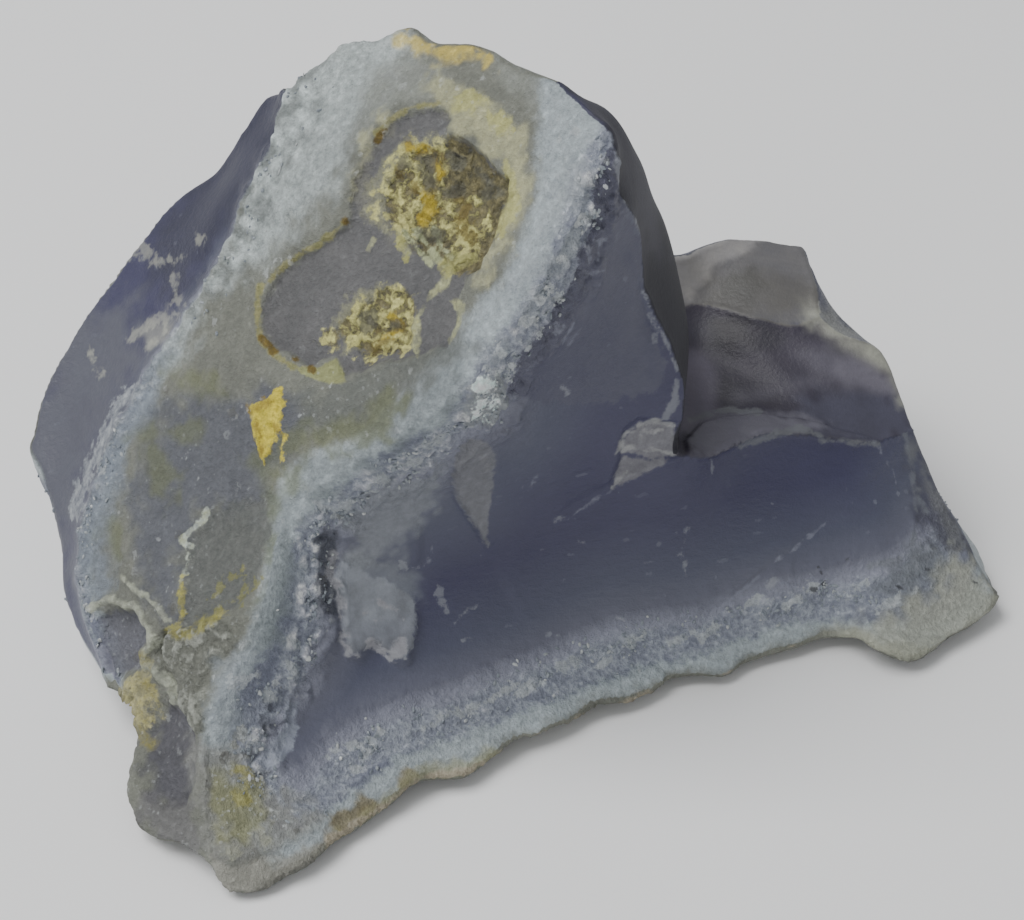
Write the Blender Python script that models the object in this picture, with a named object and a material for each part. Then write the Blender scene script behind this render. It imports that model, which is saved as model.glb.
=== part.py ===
"""A rough specimen of blue lace agate, one solid stone about 84 mm long, lying on its small flat.

The stone is a broken piece of a vein. Its pale upper left face is the wall of the vein, with a chip scar,
two iron-stained hollows and a crusted crevice. The other faces are shell-like fractures through the
blue-grey core. Arrises run between named corners, and each face is a thin plate bent to meet its arrises and
its few guide points. Places on the side that shows were measured along one line of sight: two picture
coordinates and a height above the table. Places on the hidden sides are plain x, y, z. All sizes here are
millimetres; the mesh is made in metres.
"""

import math
from typing import NamedTuple

import bpy
import numpy as np
from mathutils import Matrix, Vector, noise
from mathutils.geometry import delaunay_2d_cdt

MM = 0.001
# The surface is worked out with a place every SPACING mm, then thinned to this many triangles
SPACING = 0.9
TRIANGLES = 9700
# Whatever lies lower than this belongs to the flat it rests on
FLAT_TRUE = 0.06
STONE_COLOUR = (0.17, 0.19, 0.25, 1.0)
STONE_ROUGHNESS = 0.45

# The line of sight that the shown places were measured along
SIGHT_ELEVATION = math.radians(38)
SIGHT_DISTANCE = 200.0
SIGHT_AIM = np.array((0.0, 0.0, 17.0))
MM_PER_PIXEL = 0.0827
PICTURE_MIDDLE = (512, 460)

FORWARD = np.array((0, math.cos(SIGHT_ELEVATION), -math.sin(SIGHT_ELEVATION)))
RIGHTWARD = np.array((1.0, 0.0, 0.0))
UPWARD = np.array((0, math.sin(SIGHT_ELEVATION), math.cos(SIGHT_ELEVATION)))
EYE = SIGHT_AIM - SIGHT_DISTANCE * FORWARD


def seen(across, down, height):
    """The place that shows at this picture coordinate and lies this high above the table."""
    per_pixel = MM_PER_PIXEL / SIGHT_DISTANCE
    ray = (
        FORWARD
        + (across - PICTURE_MIDDLE[0]) * per_pixel * RIGHTWARD
        + (PICTURE_MIDDLE[1] - down) * per_pixel * UPWARD
    )
    return EYE + ray * (height - EYE[2]) / ray[2]


def at(x, y, z):
    """A place on a hidden side."""
    return np.array((x, y, z), float)


# Corners where arrises meet
NOSE = seen(214, 877, 1.6)
LEFT_LOW = seen(110, 686, 4.6)
TIP = seen(29, 447, 13.0)
TOP_LEFT = seen(291, 92, 43.5)
TOP_REAR = seen(557, 82, 52.4)
TOP_RIGHT = seen(616, 138, 51.0)
STEP_TOP = seen(682, 378, 26.8)
STEP_FOOT = seen(674, 455, 19.9)
RIDGE_LEFT = at(11.5, 13.5, 21.5)
RIDGE_RIGHT = seen(819, 318, 20.9)
SHELF_REAR = at(6.0, 21.0, 25.0)
SHELF_BACK = seen(803, 246, 22.8)
END_TOP = seen(912, 431, 13.2)
END_LOW = seen(998, 594, 2.6)
GROUND_RIGHT = at(38.4, 12.8, 1.5)
GROUND_BACK = at(28.0, 29.0, 1.0)
GROUND_REAR = at(7.0, 30.0, 1.5)
GROUND_LEFT_REAR = at(-20.0, 27.0, 1.0)
GROUND_LEFT = at(-35.0, 9.0, 1.5)

EDGES = {
    "rim": [NOSE, seen(212, 800, 5.2), seen(212, 745, 8.0), seen(228, 695, 10.8), seen(252, 635, 14.5),
            seen(270, 575, 17.8), seen(286, 528, 20.4), seen(308, 492, 23.2), seen(350, 463, 26.6),
            seen(402, 434, 30.2), seen(446, 403, 33.6), seen(486, 360, 37.0), seen(520, 312, 40.2),
            seen(550, 262, 43.6), seen(574, 215, 46.2), seen(594, 172, 49.0), TOP_RIGHT],
    "top": [TOP_LEFT, seen(318, 68, 45.2), seen(345, 48, 47.2), seen(385, 38, 48.8), seen(408, 26, 50.2),
            seen(428, 41, 50.2), seen(480, 48, 51.6), seen(520, 66, 52.2), TOP_REAR],
    "top_right": [TOP_REAR, seen(585, 104, 52.4), seen(606, 119, 52.0), TOP_RIGHT],
    "left_rim": [TOP_LEFT, seen(284, 120, 42.0), seen(270, 152, 39.8), seen(250, 200, 36.6),
                 seen(236, 240, 34.0), seen(214, 275, 31.2), seen(188, 315, 28.0), seen(160, 352, 24.8),
                 seen(146, 385, 22.0), seen(120, 430, 19.0), seen(98, 478, 15.8), seen(84, 525, 12.2),
                 seen(80, 580, 9.0), seen(88, 630, 6.6), LEFT_LOW],
    "left_outer": [TOP_LEFT, seen(270, 96, 41.5), seen(245, 130, 38.5), seen(216, 174, 34.5),
                   seen(175, 202, 31.5), seen(125, 263, 26.5), seen(80, 325, 21.5), seen(45, 392, 16.5),
                   TIP],
    "left_end": [TIP, seen(46, 482, 11.5), seen(62, 540, 8.5), seen(66, 595, 6.2), seen(86, 645, 4.6),
                 LEFT_LOW],
    "left_low": [LEFT_LOW, seen(126, 690, 4.8), seen(140, 702, 4.7), seen(142, 718, 4.2),
                 seen(137, 734, 3.6), seen(135, 762, 2.8), seen(129, 798, 1.8), seen(148, 836, 1.6),
                 seen(194, 858, 1.8), NOSE],
    "bottom": [NOSE, seen(223, 896, 0.6), seen(244, 900, 0.6), seen(266, 892, 0.7), seen(284, 877, 0.9),
               seen(303, 867, 1.0), seen(323, 850, 1.2), seen(350, 829, 1.4), seen(376, 809, 1.5),
               seen(398, 798, 1.6), seen(422, 778, 1.8), seen(466, 779, 1.4), seen(486, 762, 1.6),
               seen(522, 739, 1.6), seen(562, 726, 1.6), seen(594, 705, 1.6), seen(642, 695, 1.4),
               seen(672, 679, 1.4), seen(722, 679, 1.2), seen(752, 660, 1.4), seen(800, 648, 1.4),
               seen(838, 631, 2.0), seen(872, 649, 2.2), seen(906, 659, 1.6), seen(940, 648, 1.6),
               seen(982, 622, 1.8), END_LOW],
    "step": [TOP_RIGHT, seen(624, 190, 46.8), seen(640, 240, 41.1), seen(646, 290, 35.9),
             seen(665, 332, 31.3), STEP_TOP],
    "step_low": [STEP_TOP, seen(684, 398, 25.0), seen(680, 426, 22.4), STEP_FOOT],
    "shelf_front": [STEP_FOOT, seen(704, 456, 18.4), seen(732, 446, 17.8), seen(772, 433, 17.4),
                    seen(822, 438, 15.8), seen(868, 441, 14.4), END_TOP],
    "end": [END_TOP, seen(937, 490, 9.0), seen(964, 537, 6.2), END_LOW],
    "shelf_end": [RIDGE_RIGHT, seen(842, 335, 20.0), seen(880, 352, 18.6), seen(897, 390, 16.0), END_TOP],
    "shelf_side": [SHELF_BACK, seen(812, 271, 22.2), RIDGE_RIGHT],
    "ridge": [RIDGE_LEFT, seen(700, 305, 21.2), seen(750, 316, 21.4), seen(790, 326, 20.8), RIDGE_RIGHT],
    "shelf_back": [SHELF_REAR, seen(672, 256, 25.0), seen(700, 249, 24.4), seen(722, 241, 24.2),
                   seen(762, 241, 23.4), SHELF_BACK],
    "foot": [STEP_FOOT, at(13.2, 2.0, 18.8), at(12.6, 8.0, 19.6), RIDGE_LEFT],
    "foot_rear": [RIDGE_LEFT, at(9.5, 17.5, 22.6), SHELF_REAR],
    "tower_back": [TOP_REAR, at(5.5, 7.0, 45.0), at(7.0, 13.0, 36.0), at(7.0, 18.0, 29.5), SHELF_REAR],
    "rear": [SHELF_REAR, at(6.5, 25.5, 15.0), GROUND_REAR],
    "back": [SHELF_BACK, at(28.5, 27.5, 12.0), GROUND_BACK],
    "left_rear": [TOP_LEFT, at(-16.5, 20.0, 34.0), at(-18.5, 25.0, 16.0), GROUND_LEFT_REAR],
    "left_under": [TIP, at(-40.0, 9.5, 7.0), GROUND_LEFT],
    "end_under": [END_LOW, at(40.2, 3.4, 1.8), GROUND_RIGHT],
    "ground_right": [GROUND_RIGHT, at(36.0, 22.0, 1.2), GROUND_BACK],
    "ground_back": [GROUND_BACK, at(18.0, 31.0, 1.4), GROUND_REAR],
    "ground_rear": [GROUND_REAR, at(-6.0, 31.0, 1.2), GROUND_LEFT_REAR],
    "ground_left_rear": [GROUND_LEFT_REAR, at(-30.0, 20.0, 1.4), GROUND_LEFT],
    "ground_left": [GROUND_LEFT, at(-32.5, -2.0, 1.6), seen(112, 680, 3.2), LEFT_LOW],
}

# Arrises on the hidden sides wander in long waves, and the others are nicked a little to either side
HIDDEN_EDGES = {"rear", "back", "left_rear", "left_under", "end_under", "ground_right", "ground_back",
                "ground_rear", "ground_left_rear", "ground_left"}
HIDDEN_WAVE = 2.0
EDGE_NICKS = {"bottom": 0.45, "left_rim": 0.45, "rim": 0.35, "top": 0.4, "left_low": 0.4, "shelf_front": 0.2}
PLAIN_NICK = 0.15

# Each face: the arrises around it, the way it faces, and the guide points that its surface passes through.
# An arris name that starts with a minus sign is followed backwards.
FACES = {
    "vein_wall": (
        ["rim", "-top_right", "-top", "left_rim", "left_low"], (-0.64, -0.47, 0.6),
        [seen(330, 200, 40.6), seen(280, 300, 32.6), seen(400, 280, 37.8), seen(470, 180, 44.6),
         seen(220, 420, 24.0), seen(300, 420, 27.2), seen(160, 520, 16.2), seen(230, 560, 17.4),
         seen(130, 620, 10.2), seen(200, 660, 11.6), seen(170, 770, 5.4), seen(420, 110, 47.4)],
    ),
    "left_facet": (
        ["left_rim", "-left_end", "-left_outer"], (-0.8, -0.1, 0.56),
        [seen(150, 290, 26.8), seen(75, 440, 15.0), seen(215, 215, 34.2)],
    ),
    "front_scoop": (
        ["bottom", "-end", "-shelf_front", "-step_low", "-step", "-rim"], (0.4, -0.85, 0.35),
        [seen(350, 560, 16.2), seen(300, 700, 7.6), seen(360, 770, 3.4), seen(440, 620, 9.4),
         seen(460, 480, 22.4), seen(540, 560, 12.2), seen(560, 400, 28.6), seen(600, 300, 37.8),
         seen(620, 480, 18.4), seen(560, 660, 4.6), seen(680, 560, 9.6), seen(700, 620, 4.6),
         seen(780, 500, 12.0), seen(800, 590, 5.4), seen(880, 520, 9.2), seen(900, 600, 4.2)],
    ),
    "crescent": (
        ["step", "step_low", "foot", "foot_rear", "-tower_back", "top_right"], (0.9, 0.0, 0.4),
        [seen(600, 107, 49.6), seen(636, 156, 43.6), seen(656, 205, 37.0), seen(666, 246, 32.0),
         seen(673, 292, 27.4), seen(681, 352, 22.8)],
    ),
    "bowl": (
        ["ridge", "shelf_end", "-shelf_front", "foot"], (0.1, -0.3, 0.9),
        [seen(710, 400, 17.4), seen(760, 380, 18.2), seen(830, 378, 18.0), seen(880, 400, 15.8),
         seen(700, 340, 19.4)],
    ),
    "shelf_top": (
        ["shelf_back", "shelf_side", "-ridge", "foot_rear"], (0.0, -0.1, 1.0),
        [seen(760, 280, 22.6), seen(700, 280, 22.6)],
    ),
    "tower_rear": (
        ["top", "tower_back", "rear", "ground_rear", "-left_rear"], (-0.1, 0.9, 0.3),
        [at(-8.0, 19.0, 38.0), at(-8.0, 26.0, 22.0)],
    ),
    "left_rear_face": (
        ["left_outer", "left_under", "-ground_left_rear", "-left_rear"], (-0.7, 0.6, -0.1),
        [at(-29.0, 18.0, 17.0)],
    ),
    "left_low_face": (
        ["left_end", "-ground_left", "-left_under"], (-0.8, -0.4, -0.4),
        [],
    ),
    "shelf_rear": (
        ["shelf_back", "back", "ground_back", "-rear"], (0.0, 1.0, 0.1),
        [at(17.0, 28.5, 12.0)],
    ),
    "right_end": (
        ["shelf_side", "shelf_end", "end", "end_under", "ground_right", "-back"], (0.85, 0.5, 0.1),
        [at(34.6, 14.8, 9.0)],
    ),
    "underside": (
        ["bottom", "end_under", "ground_right", "ground_back", "ground_rear", "ground_left_rear",
         "ground_left", "left_low"], (0.0, 0.0, -1.0),
        [at(-15.0, -14.0, -0.1), at(8.0, -3.0, -0.3), at(23.0, 11.0, 0.3), at(-4.0, 18.0, 0.0),
         at(-22.0, 7.0, 0.0), at(-3.0, 3.0, -0.7)],
    ),
}

# How far the arrises are worn round: the spread of the wear in mm, least on the fresh breaks
EDGE_WEAR = {
    "rim": 1.3, "top": 0.9, "top_right": 0.4, "left_rim": 0.5, "left_outer": 0.5, "left_end": 0.7,
    "left_low": 1.0, "bottom": 0.9, "end": 0.5, "end_under": 1.0, "left_under": 0.8, "left_rear": 0.9,
    "rear": 0.9, "back": 0.8, "ground_right": 1.0, "ground_back": 1.0, "ground_rear": 1.0,
    "ground_left_rear": 1.0, "ground_left": 1.0, "shelf_back": 0.4, "shelf_side": 0.4, "shelf_end": 0.4,
    "foot": 0.5, "foot_rear": 0.5,
}
FRESH_WEAR = 0.2
# The stone swells by this share of what is worn away, so that its outline stays where it was measured
KEPT_OUTLINE = 0.45


class Mark(NamedTuple):
    """A place where a face stands proud of its plate or is sunk into it; lengths in mm."""
    face: str
    rise: float
    edge: float
    points: list
    rough: float = 0.0
    frayed: bool = True
    half: float = 0.0


# Marks on the wall and on the breaks. Their points are an outline, or, with a half width, the line that
# they follow.
MARKS = {
    "chip scar": Mark("vein_wall", -0.5, 0.5, [
        (446, 136), (446, 112), (438, 106), (414, 108), (388, 121), (370, 140), (357, 162), (350, 182),
        (346, 205), (345, 222), (322, 240), (297, 256), (272, 280), (262, 300), (261, 330), (276, 350),
        (305, 365), (330, 358), (345, 372), (372, 362), (402, 358), (424, 350), (444, 345), (456, 322),
        (452, 300), (472, 268), (500, 235), (508, 195), (490, 160), (470, 145)]),
    "upper hollow": Mark("vein_wall", -0.5, 1.0, [
        (398, 146), (418, 141), (442, 142), (452, 138), (472, 152), (490, 165), (504, 182), (500, 205),
        (490, 228), (482, 250), (476, 268), (455, 270), (436, 262), (415, 252), (400, 236), (384, 216),
        (376, 200), (388, 180), (396, 164)], rough=0.3),
    "lower hollow": Mark("vein_wall", -0.4, 0.8, [
        (334, 318), (350, 300), (372, 290), (394, 284), (406, 296), (408, 320), (404, 346), (386, 352),
        (362, 358), (344, 348), (332, 336)], rough=0.3),
    "green dip": Mark("vein_wall", -0.35, 1.8, [
        (204, 512), (190, 528), (180, 548), (181, 590), (180, 628), (205, 622), (240, 606), (256, 590),
        (264, 556), (270, 520), (262, 500), (236, 498)]),
    "crevice": Mark("vein_wall", -1.0, 1.0, [
        (160, 606), (158, 628), (164, 650), (172, 672), (178, 700), (184, 722), (188, 748), (184, 782)],
        half=0.6),
    "undercut": Mark("vein_wall", -0.9, 0.8, [
        (104, 616), (122, 608), (134, 618), (142, 640), (138, 656), (132, 670), (112, 678), (100, 658)]),
    "ledge": Mark("vein_wall", 0.4, 0.7, [
        (92, 604), (112, 599), (130, 602), (140, 616), (148, 634), (146, 654), (152, 668), (166, 682),
        (170, 700)], half=0.4),
    "crusted crest": Mark("vein_wall", 0.5, 1.4, [
        (172, 628), (196, 630), (222, 628), (214, 648), (192, 660), (184, 684), (196, 716), (202, 748)],
        rough=0.35, half=1.2),
    "ochre lump": Mark("vein_wall", 0.8, 1.2, [
        (126, 680), (138, 668), (152, 682), (150, 706), (148, 730)], rough=0.4, half=0.9),
    "white knob": Mark("front_scoop", 0.4, 0.5, [
        (470, 372), (498, 370), (502, 392), (498, 418), (478, 426), (462, 424), (466, 398)], rough=0.3),
    "chip at the step": Mark("front_scoop", -0.5, 0.8, [
        (620, 446), (626, 430), (640, 420), (662, 422), (676, 424), (674, 456), (650, 466), (628, 474),
        (612, 486), (620, 462)], frayed=False),
    "lens flake": Mark("bowl", 0.45, 0.4, [
        (686, 456), (684, 442), (700, 426), (726, 418), (760, 416), (800, 420), (838, 430), (876, 441),
        (840, 443), (800, 444), (768, 450), (738, 458), (708, 460)], frayed=False),
}

# Lumpy quartz runs in a belt along the rim of the wall and along the foot of the stone
RIM_BELT = [(262, 764), (266, 730), (284, 704), (302, 682), (308, 655), (318, 630), (320, 600), (324, 572),
            (328, 552), (318, 528), (352, 520), (364, 492), (400, 478), (438, 462), (464, 428), (502, 415),
            (512, 368), (536, 340), (560, 302), (580, 280), (590, 240), (600, 212), (600, 172), (616, 146)]
RIM_BELT_HALF = 1.6
RIM_LUMPS = {"rise": 0.4, "size": 2.1}
FOOT_BELT = [(300, 790), (340, 745), (380, 722), (420, 712), (460, 700), (500, 682), (540, 668), (580, 650),
             (620, 634), (660, 622), (700, 618), (740, 602), (780, 590), (820, 585), (860, 575), (900, 562),
             (925, 540)]
FOOT_BELT_HALF = 2.0
FOOT_LUMPS = {"rise": 0.2, "size": 1.9}
LEFT_LUMPS = {"rise": 0.5, "size": 1.6, "half": 1.6}

# Random relief in mm, each with the length of its waves
WALL_ROLL = {"rise": 0.45, "length": 14.0, "octaves": 4}
BREAK_ROLL = {"rise": 0.18, "length": 16.0, "octaves": 3}
SHELL_BREAKS = {"rise": 0.8, "depth": 2.4, "length": 21.0}
HIDDEN_ROUGH = {"rise": 0.25, "length": 5.0}
HIDDEN_FADE = 4.0
UNDER_ROLL = {"rise": 0.8, "length": 9.0}
UNDER_LUMPS = {"rise": 0.25, "size": 4.5}
FLOOR_ROUGH_LENGTH = 2.4
FRAY = 5.0
FRAY_LENGTH = 2.2
# Ripples spread over the bowl from this picture coordinate at the foot of the tower
RIPPLE_START = (690, 470)
RIPPLE = {"rise": 0.08, "length": 3.4, "waver": 0.8}


def fractal(places, scale, octaves, seed):
    """Fractal noise from about -1 to 1 at each place, with its largest lumps `scale` mm across."""
    shift = Vector((seed * 17.3, seed * 5.1, seed * 29.7))
    return np.array([noise.fractal(Vector(p) / scale + shift, 1.0, 2.0, octaves) for p in places])


def dense_line(points, spacing):
    """A smooth line through the points, with a place about every `spacing` mm."""
    line = [points[0]]
    for i in range(len(points) - 1):
        before = points[max(i - 1, 0)]
        start, end = points[i], points[i + 1]
        after = points[min(i + 2, len(points) - 1)]
        count = max(1, round(float(np.linalg.norm(end - start)) / spacing))
        for t in np.arange(1, count + 1) / count:
            line.append(
                0.5 * (2 * start + (end - before) * t
                       + (2 * before - 5 * start + 4 * end - after) * t**2
                       + (3 * start - before - 3 * end + after) * t**3)
            )
    return np.array(line)


def nicked(line, name, seed):
    """The line with its ends kept and the rest moved aside, in long waves on the hidden sides."""
    hidden = name in HIDDEN_EDGES
    depth = HIDDEN_WAVE if hidden else EDGE_NICKS.get(name, PLAIN_NICK)
    length = 14.0 if hidden else 3.0
    run = np.concatenate([[0], np.cumsum(np.linalg.norm(np.diff(line, axis=0), axis=1))])
    ends = np.clip(np.minimum(run, run[-1] - run) / (length / 1.5), 0, 1)
    moved = line.copy()
    for axis in range(3):
        moved[:, axis] += depth * ends * fractal(line, length, 2, seed + axis)
    moved[:, 2] = np.maximum(moved[:, 2], 0.4)
    return moved


def loop_of(names, lines):
    """The closed line around a face."""
    pieces = []
    for name in names:
        line = lines[name[1:]][::-1] if name.startswith("-") else lines[name]
        if pieces and np.linalg.norm(pieces[-1][-1] - line[0]) > 1e-6:
            line = line[::-1]
        pieces.append(line)
    if np.linalg.norm(pieces[0][0] - pieces[-1][-1]) > 1e-6:
        raise ValueError(f"the arrises {names} don't close")
    return np.concatenate([piece[:-1] for piece in pieces])


def plate(places, values, wanted):
    """Bends a thin plate through the values at the places, and reads it at the wanted places."""
    def kernel(a, b):
        apart = ((a[:, None, :] - b[None, :, :]) ** 2).sum(2)
        return 0.5 * apart * np.log(np.maximum(apart, 1e-12))

    count = len(places)
    flat = np.hstack([np.ones((count, 1)), places])
    system = np.zeros((count + 3, count + 3))
    system[:count, :count] = kernel(places, places) + 1e-3 * np.eye(count)
    system[:count, count:] = flat
    system[count:, :count] = flat.T
    weights = np.linalg.solve(system, np.concatenate([values, np.zeros(3)]))
    found = [
        kernel(part, places) @ weights[:count] + np.hstack([np.ones((len(part), 1)), part]) @ weights[count:]
        for part in np.array_split(wanted, max(1, len(wanted) // 4000))
    ]
    return np.concatenate(found)


def inside(outline, places):
    """Which of the places lie inside the closed outline."""
    found = np.zeros(len(places), bool)
    for a, b in zip(outline, np.roll(outline, -1, axis=0)):
        if a[1] == b[1]:
            continue
        crosses = (a[1] > places[:, 1]) != (b[1] > places[:, 1])
        found ^= crosses & (places[:, 0] < (b[0] - a[0]) * (places[:, 1] - a[1]) / (b[1] - a[1]) + a[0])
    return found


def inner(triangles, count):
    """The triangles inside the outline, which runs counter-clockwise through the first `count` places."""
    owner = {}
    for number, (a, b, c) in enumerate(triangles.tolist()):
        owner[a, b] = owner[b, c] = owner[c, a] = number
    outline = {(i, (i + 1) % count) for i in range(count)}
    waiting = [owner[edge] for edge in outline if edge in owner]
    kept = set(waiting)
    while waiting:
        a, b, c = triangles[waiting.pop()]
        for edge in ((a, b), (b, c), (c, a)):
            over = owner.get((edge[1], edge[0]))
            if edge not in outline and over is not None and over not in kept:
                kept.add(over)
                waiting.append(over)
    return triangles[sorted(kept)]


def face_mesh(loop, outward, guides, spacing):
    """(places, triangles) of one face: a sheet bent to its loop and its guides."""
    area = np.cross(loop, np.roll(loop, -1, axis=0)).sum(axis=0)
    normal = area / np.linalg.norm(area)
    if normal @ np.array(outward) < 0:
        loop, normal = loop[::-1], -normal
    side = np.cross(normal, (0.3, 0.5, 0.8))
    side /= np.linalg.norm(side)
    over = np.cross(normal, side)
    middle = loop.mean(axis=0)
    basis = np.array([side, over, normal])
    local = (loop - middle) @ basis.T
    known = local[:: max(1, round(1.0 / spacing))]
    if len(guides):
        known = np.vstack([known, (np.array(guides) - middle) @ basis.T])

    low, high = local[:, :2].min(axis=0), local[:, :2].max(axis=0)
    row = spacing * math.sqrt(3) / 2
    ys = np.arange(low[1] + row, high[1], row)
    grid = np.array([
        (x + (i % 2) * spacing / 2, y)
        for i, y in enumerate(ys)
        for x in np.arange(low[0], high[0], spacing)
    ])
    grid = grid[inside(local[:, :2], grid)]
    near = np.full(len(grid), np.inf)
    for part in np.array_split(local[:, :2], max(1, len(local) // 50)):
        near = np.minimum(near, np.linalg.norm(grid[:, None, :] - part[None], axis=2).min(axis=1))
    grid = grid[near > 0.6 * spacing]

    heights = plate(known[:, :2], known[:, 2], grid)
    flat = [Vector(p) for p in np.vstack([local[:, :2], grid])]
    corners = list(range(len(local)))
    out, _, triangles, origins, _, _ = delaunay_2d_cdt(flat, [], [corners], 1, 1e-7, True)
    if len(out) != len(flat):
        raise ValueError("a face's outline crosses itself")
    places = np.vstack([local, np.hstack([grid, heights[:, None]])])
    index = np.array([origin[0] for origin in origins])
    triangles = index[np.array([list(t) for t in triangles])]
    return places @ basis + middle, inner(triangles, len(local))


def skin(spacing):
    """The closed surface: places, triangles, which places are on each face, and the lines of the arrises."""
    lines = {}
    for number, (name, points) in enumerate(EDGES.items()):
        lines[name] = nicked(dense_line(points, spacing), name, number)
    places, triangles, faces = [], [], {}
    count = 0
    for name, (names, outward, guides) in FACES.items():
        found, corners = face_mesh(loop_of(names, lines), outward, guides, spacing)
        places.append(found)
        triangles.append(corners + count)
        faces[name] = np.arange(count, count + len(found))
        count += len(found)
    places = np.concatenate(places)
    _, first, index = np.unique(np.round(places, 4), axis=0, return_index=True, return_inverse=True)
    index = index.reshape(-1)
    on = {}
    for name, members in faces.items():
        on[name] = np.zeros(len(first), bool)
        on[name][index[members]] = True
    return places[first], index[np.concatenate(triangles)], on, lines


def nearest(places, line):
    """Distance in mm from each place to the nearest place of the line."""
    found = np.full(len(places), np.inf)
    for part in np.array_split(line, max(1, len(line) // 20)):
        found = np.minimum(found, np.linalg.norm(places[:, None, :] - part[None], axis=2).min(axis=1))
    return found


def worn(places, triangles, lines, spacing):
    """The places with the arrises worn round, how much each has lost, and how far it is from an arris."""
    wear = np.zeros(len(places))
    lost = np.zeros(len(places))
    clear = np.full(len(places), np.inf)
    for name, line in lines.items():
        depth = EDGE_WEAR.get(name, FRESH_WEAR)
        away = nearest(places, line)
        wear = np.maximum(wear, depth * np.clip(2.5 - away / (2 * depth), 0, 1))
        lost = np.maximum(lost, depth * np.exp(-(away / (1.6 * depth)) ** 2))
        if name not in HIDDEN_EDGES:
            clear = np.minimum(clear, away)
    most = wear.max()
    rounds = math.ceil(4 * most**2 / spacing**2)
    share = 0.5 * (wear / most) ** 2
    ends = np.concatenate([triangles, triangles[:, ::-1]])
    first, second = ends[:, [0, 1, 2]].ravel(), ends[:, [1, 2, 0]].ravel()
    count = np.bincount(first, minlength=len(places))
    for _ in range(rounds):
        for axis in range(3):
            mean = np.bincount(first, places[second, axis], len(places)) / count
            places[:, axis] += share * (mean - places[:, axis])
    return places, lost, clear


def normals_of(places, triangles):
    """The direction outward at each place."""
    a, b, c = (places[triangles[:, k]] for k in range(3))
    flat = np.cross(b - a, c - a)
    found = np.zeros_like(places)
    for axis in range(3):
        for k in range(3):
            found[:, axis] += np.bincount(triangles[:, k], flat[:, axis], len(places))
    return found / np.maximum(np.linalg.norm(found, axis=1), 1e-12)[:, None]


def picture_of(places):
    """The picture coordinates at which each place shows."""
    ray = places - EYE
    ray = ray / (ray @ FORWARD)[:, None]
    per_pixel = MM_PER_PIXEL / SIGHT_DISTANCE
    across = PICTURE_MIDDLE[0] + ray @ RIGHTWARD / per_pixel
    down = PICTURE_MIDDLE[1] - ray @ UPWARD / per_pixel
    return np.stack([across, down], 1)


def from_line(picture, points):
    """Distance in mm from each picture coordinate to an open line."""
    found = np.full(len(picture), np.inf)
    for a, b in zip(np.array(points[:-1], float), np.array(points[1:], float)):
        along = np.clip((picture - a) @ (b - a) / ((b - a) @ (b - a)), 0, 1)
        found = np.minimum(found, np.linalg.norm(picture - a - along[:, None] * (b - a), axis=1))
    return found * MM_PER_PIXEL


def into(picture, outline):
    """How far in mm each picture coordinate lies inside a closed outline; less than nothing outside it."""
    edge = from_line(picture, outline + outline[:1])
    return np.where(inside(np.array(outline, float), picture), edge, -edge)


def step_up(value, width):
    """Rises smoothly from 0 to 1 over a width centred on nothing, as steep as the mesh can show."""
    t = np.clip(value / max(width, 1.3 * SPACING) + 0.5, 0, 1)
    return t * t * (3 - 2 * t)


def lumps(places, size, seed):
    """Rounded lumps about `size` mm across, from 0 between them to 1 on their tops."""
    shift = Vector((seed * 3.7, seed * 9.1, seed * 5.3))
    near = np.array([noise.voronoi(Vector(p) / size + shift)[0][0] for p in places])
    return 1 - np.clip(near / 0.75, 0, 1) ** 2


def belt(picture, line, half):
    """1 along a line, fading to 0 beyond half its width in mm."""
    return 1 - step_up(from_line(picture, line) - half, half)


def rolls(places, on, clear):
    """The slow swells and the roughness of each kind of face, in mm."""
    wall = WALL_ROLL["rise"] * fractal(places, WALL_ROLL["length"], WALL_ROLL["octaves"], 1)
    fresh = BREAK_ROLL["rise"] * fractal(places, BREAK_ROLL["length"], BREAK_ROLL["octaves"], 2)
    shell_edges = np.abs(fractal(places, SHELL_BREAKS["length"], 2, 3))
    shells = SHELL_BREAKS["rise"] - SHELL_BREAKS["depth"] * shell_edges
    shells += HIDDEN_ROUGH["rise"] * fractal(places, HIDDEN_ROUGH["length"], 3, 13)
    under = UNDER_ROLL["rise"] * fractal(places, UNDER_ROLL["length"], 2, 4)
    under += UNDER_LUMPS["rise"] * lumps(places, UNDER_LUMPS["size"], 5)
    hidden = on["tower_rear"] | on["shelf_rear"] | on["left_rear_face"]
    hidden |= on["right_end"] | on["left_low_face"]
    return (
        wall * on["vein_wall"]
        + fresh * (on["front_scoop"] | on["left_facet"] | on["crescent"])
        + shells * hidden * np.clip(clear / HIDDEN_FADE, 0, 1)
        + under * on["underside"]
    )


def quartz_lumps(places, picture, on):
    """Lumps of quartz in mm, along both rims of the wall and along the foot."""
    rim = RIM_LUMPS["rise"] * lumps(places, RIM_LUMPS["size"], 9)
    rim *= belt(picture, RIM_BELT, RIM_BELT_HALF)
    foot = FOOT_LUMPS["rise"] * lumps(places, FOOT_LUMPS["size"], 10)
    foot *= belt(picture, FOOT_BELT, FOOT_BELT_HALF)
    near_left = np.exp(-(nearest(places, np.array(EDGES["left_rim"])) / LEFT_LUMPS["half"]) ** 2)
    left = LEFT_LUMPS["rise"] * lumps(places, LEFT_LUMPS["size"], 11) * near_left
    return (
        rim * (on["front_scoop"] | on["vein_wall"])
        + foot * on["front_scoop"]
        + left * (on["vein_wall"] | on["left_facet"])
    )


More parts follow.
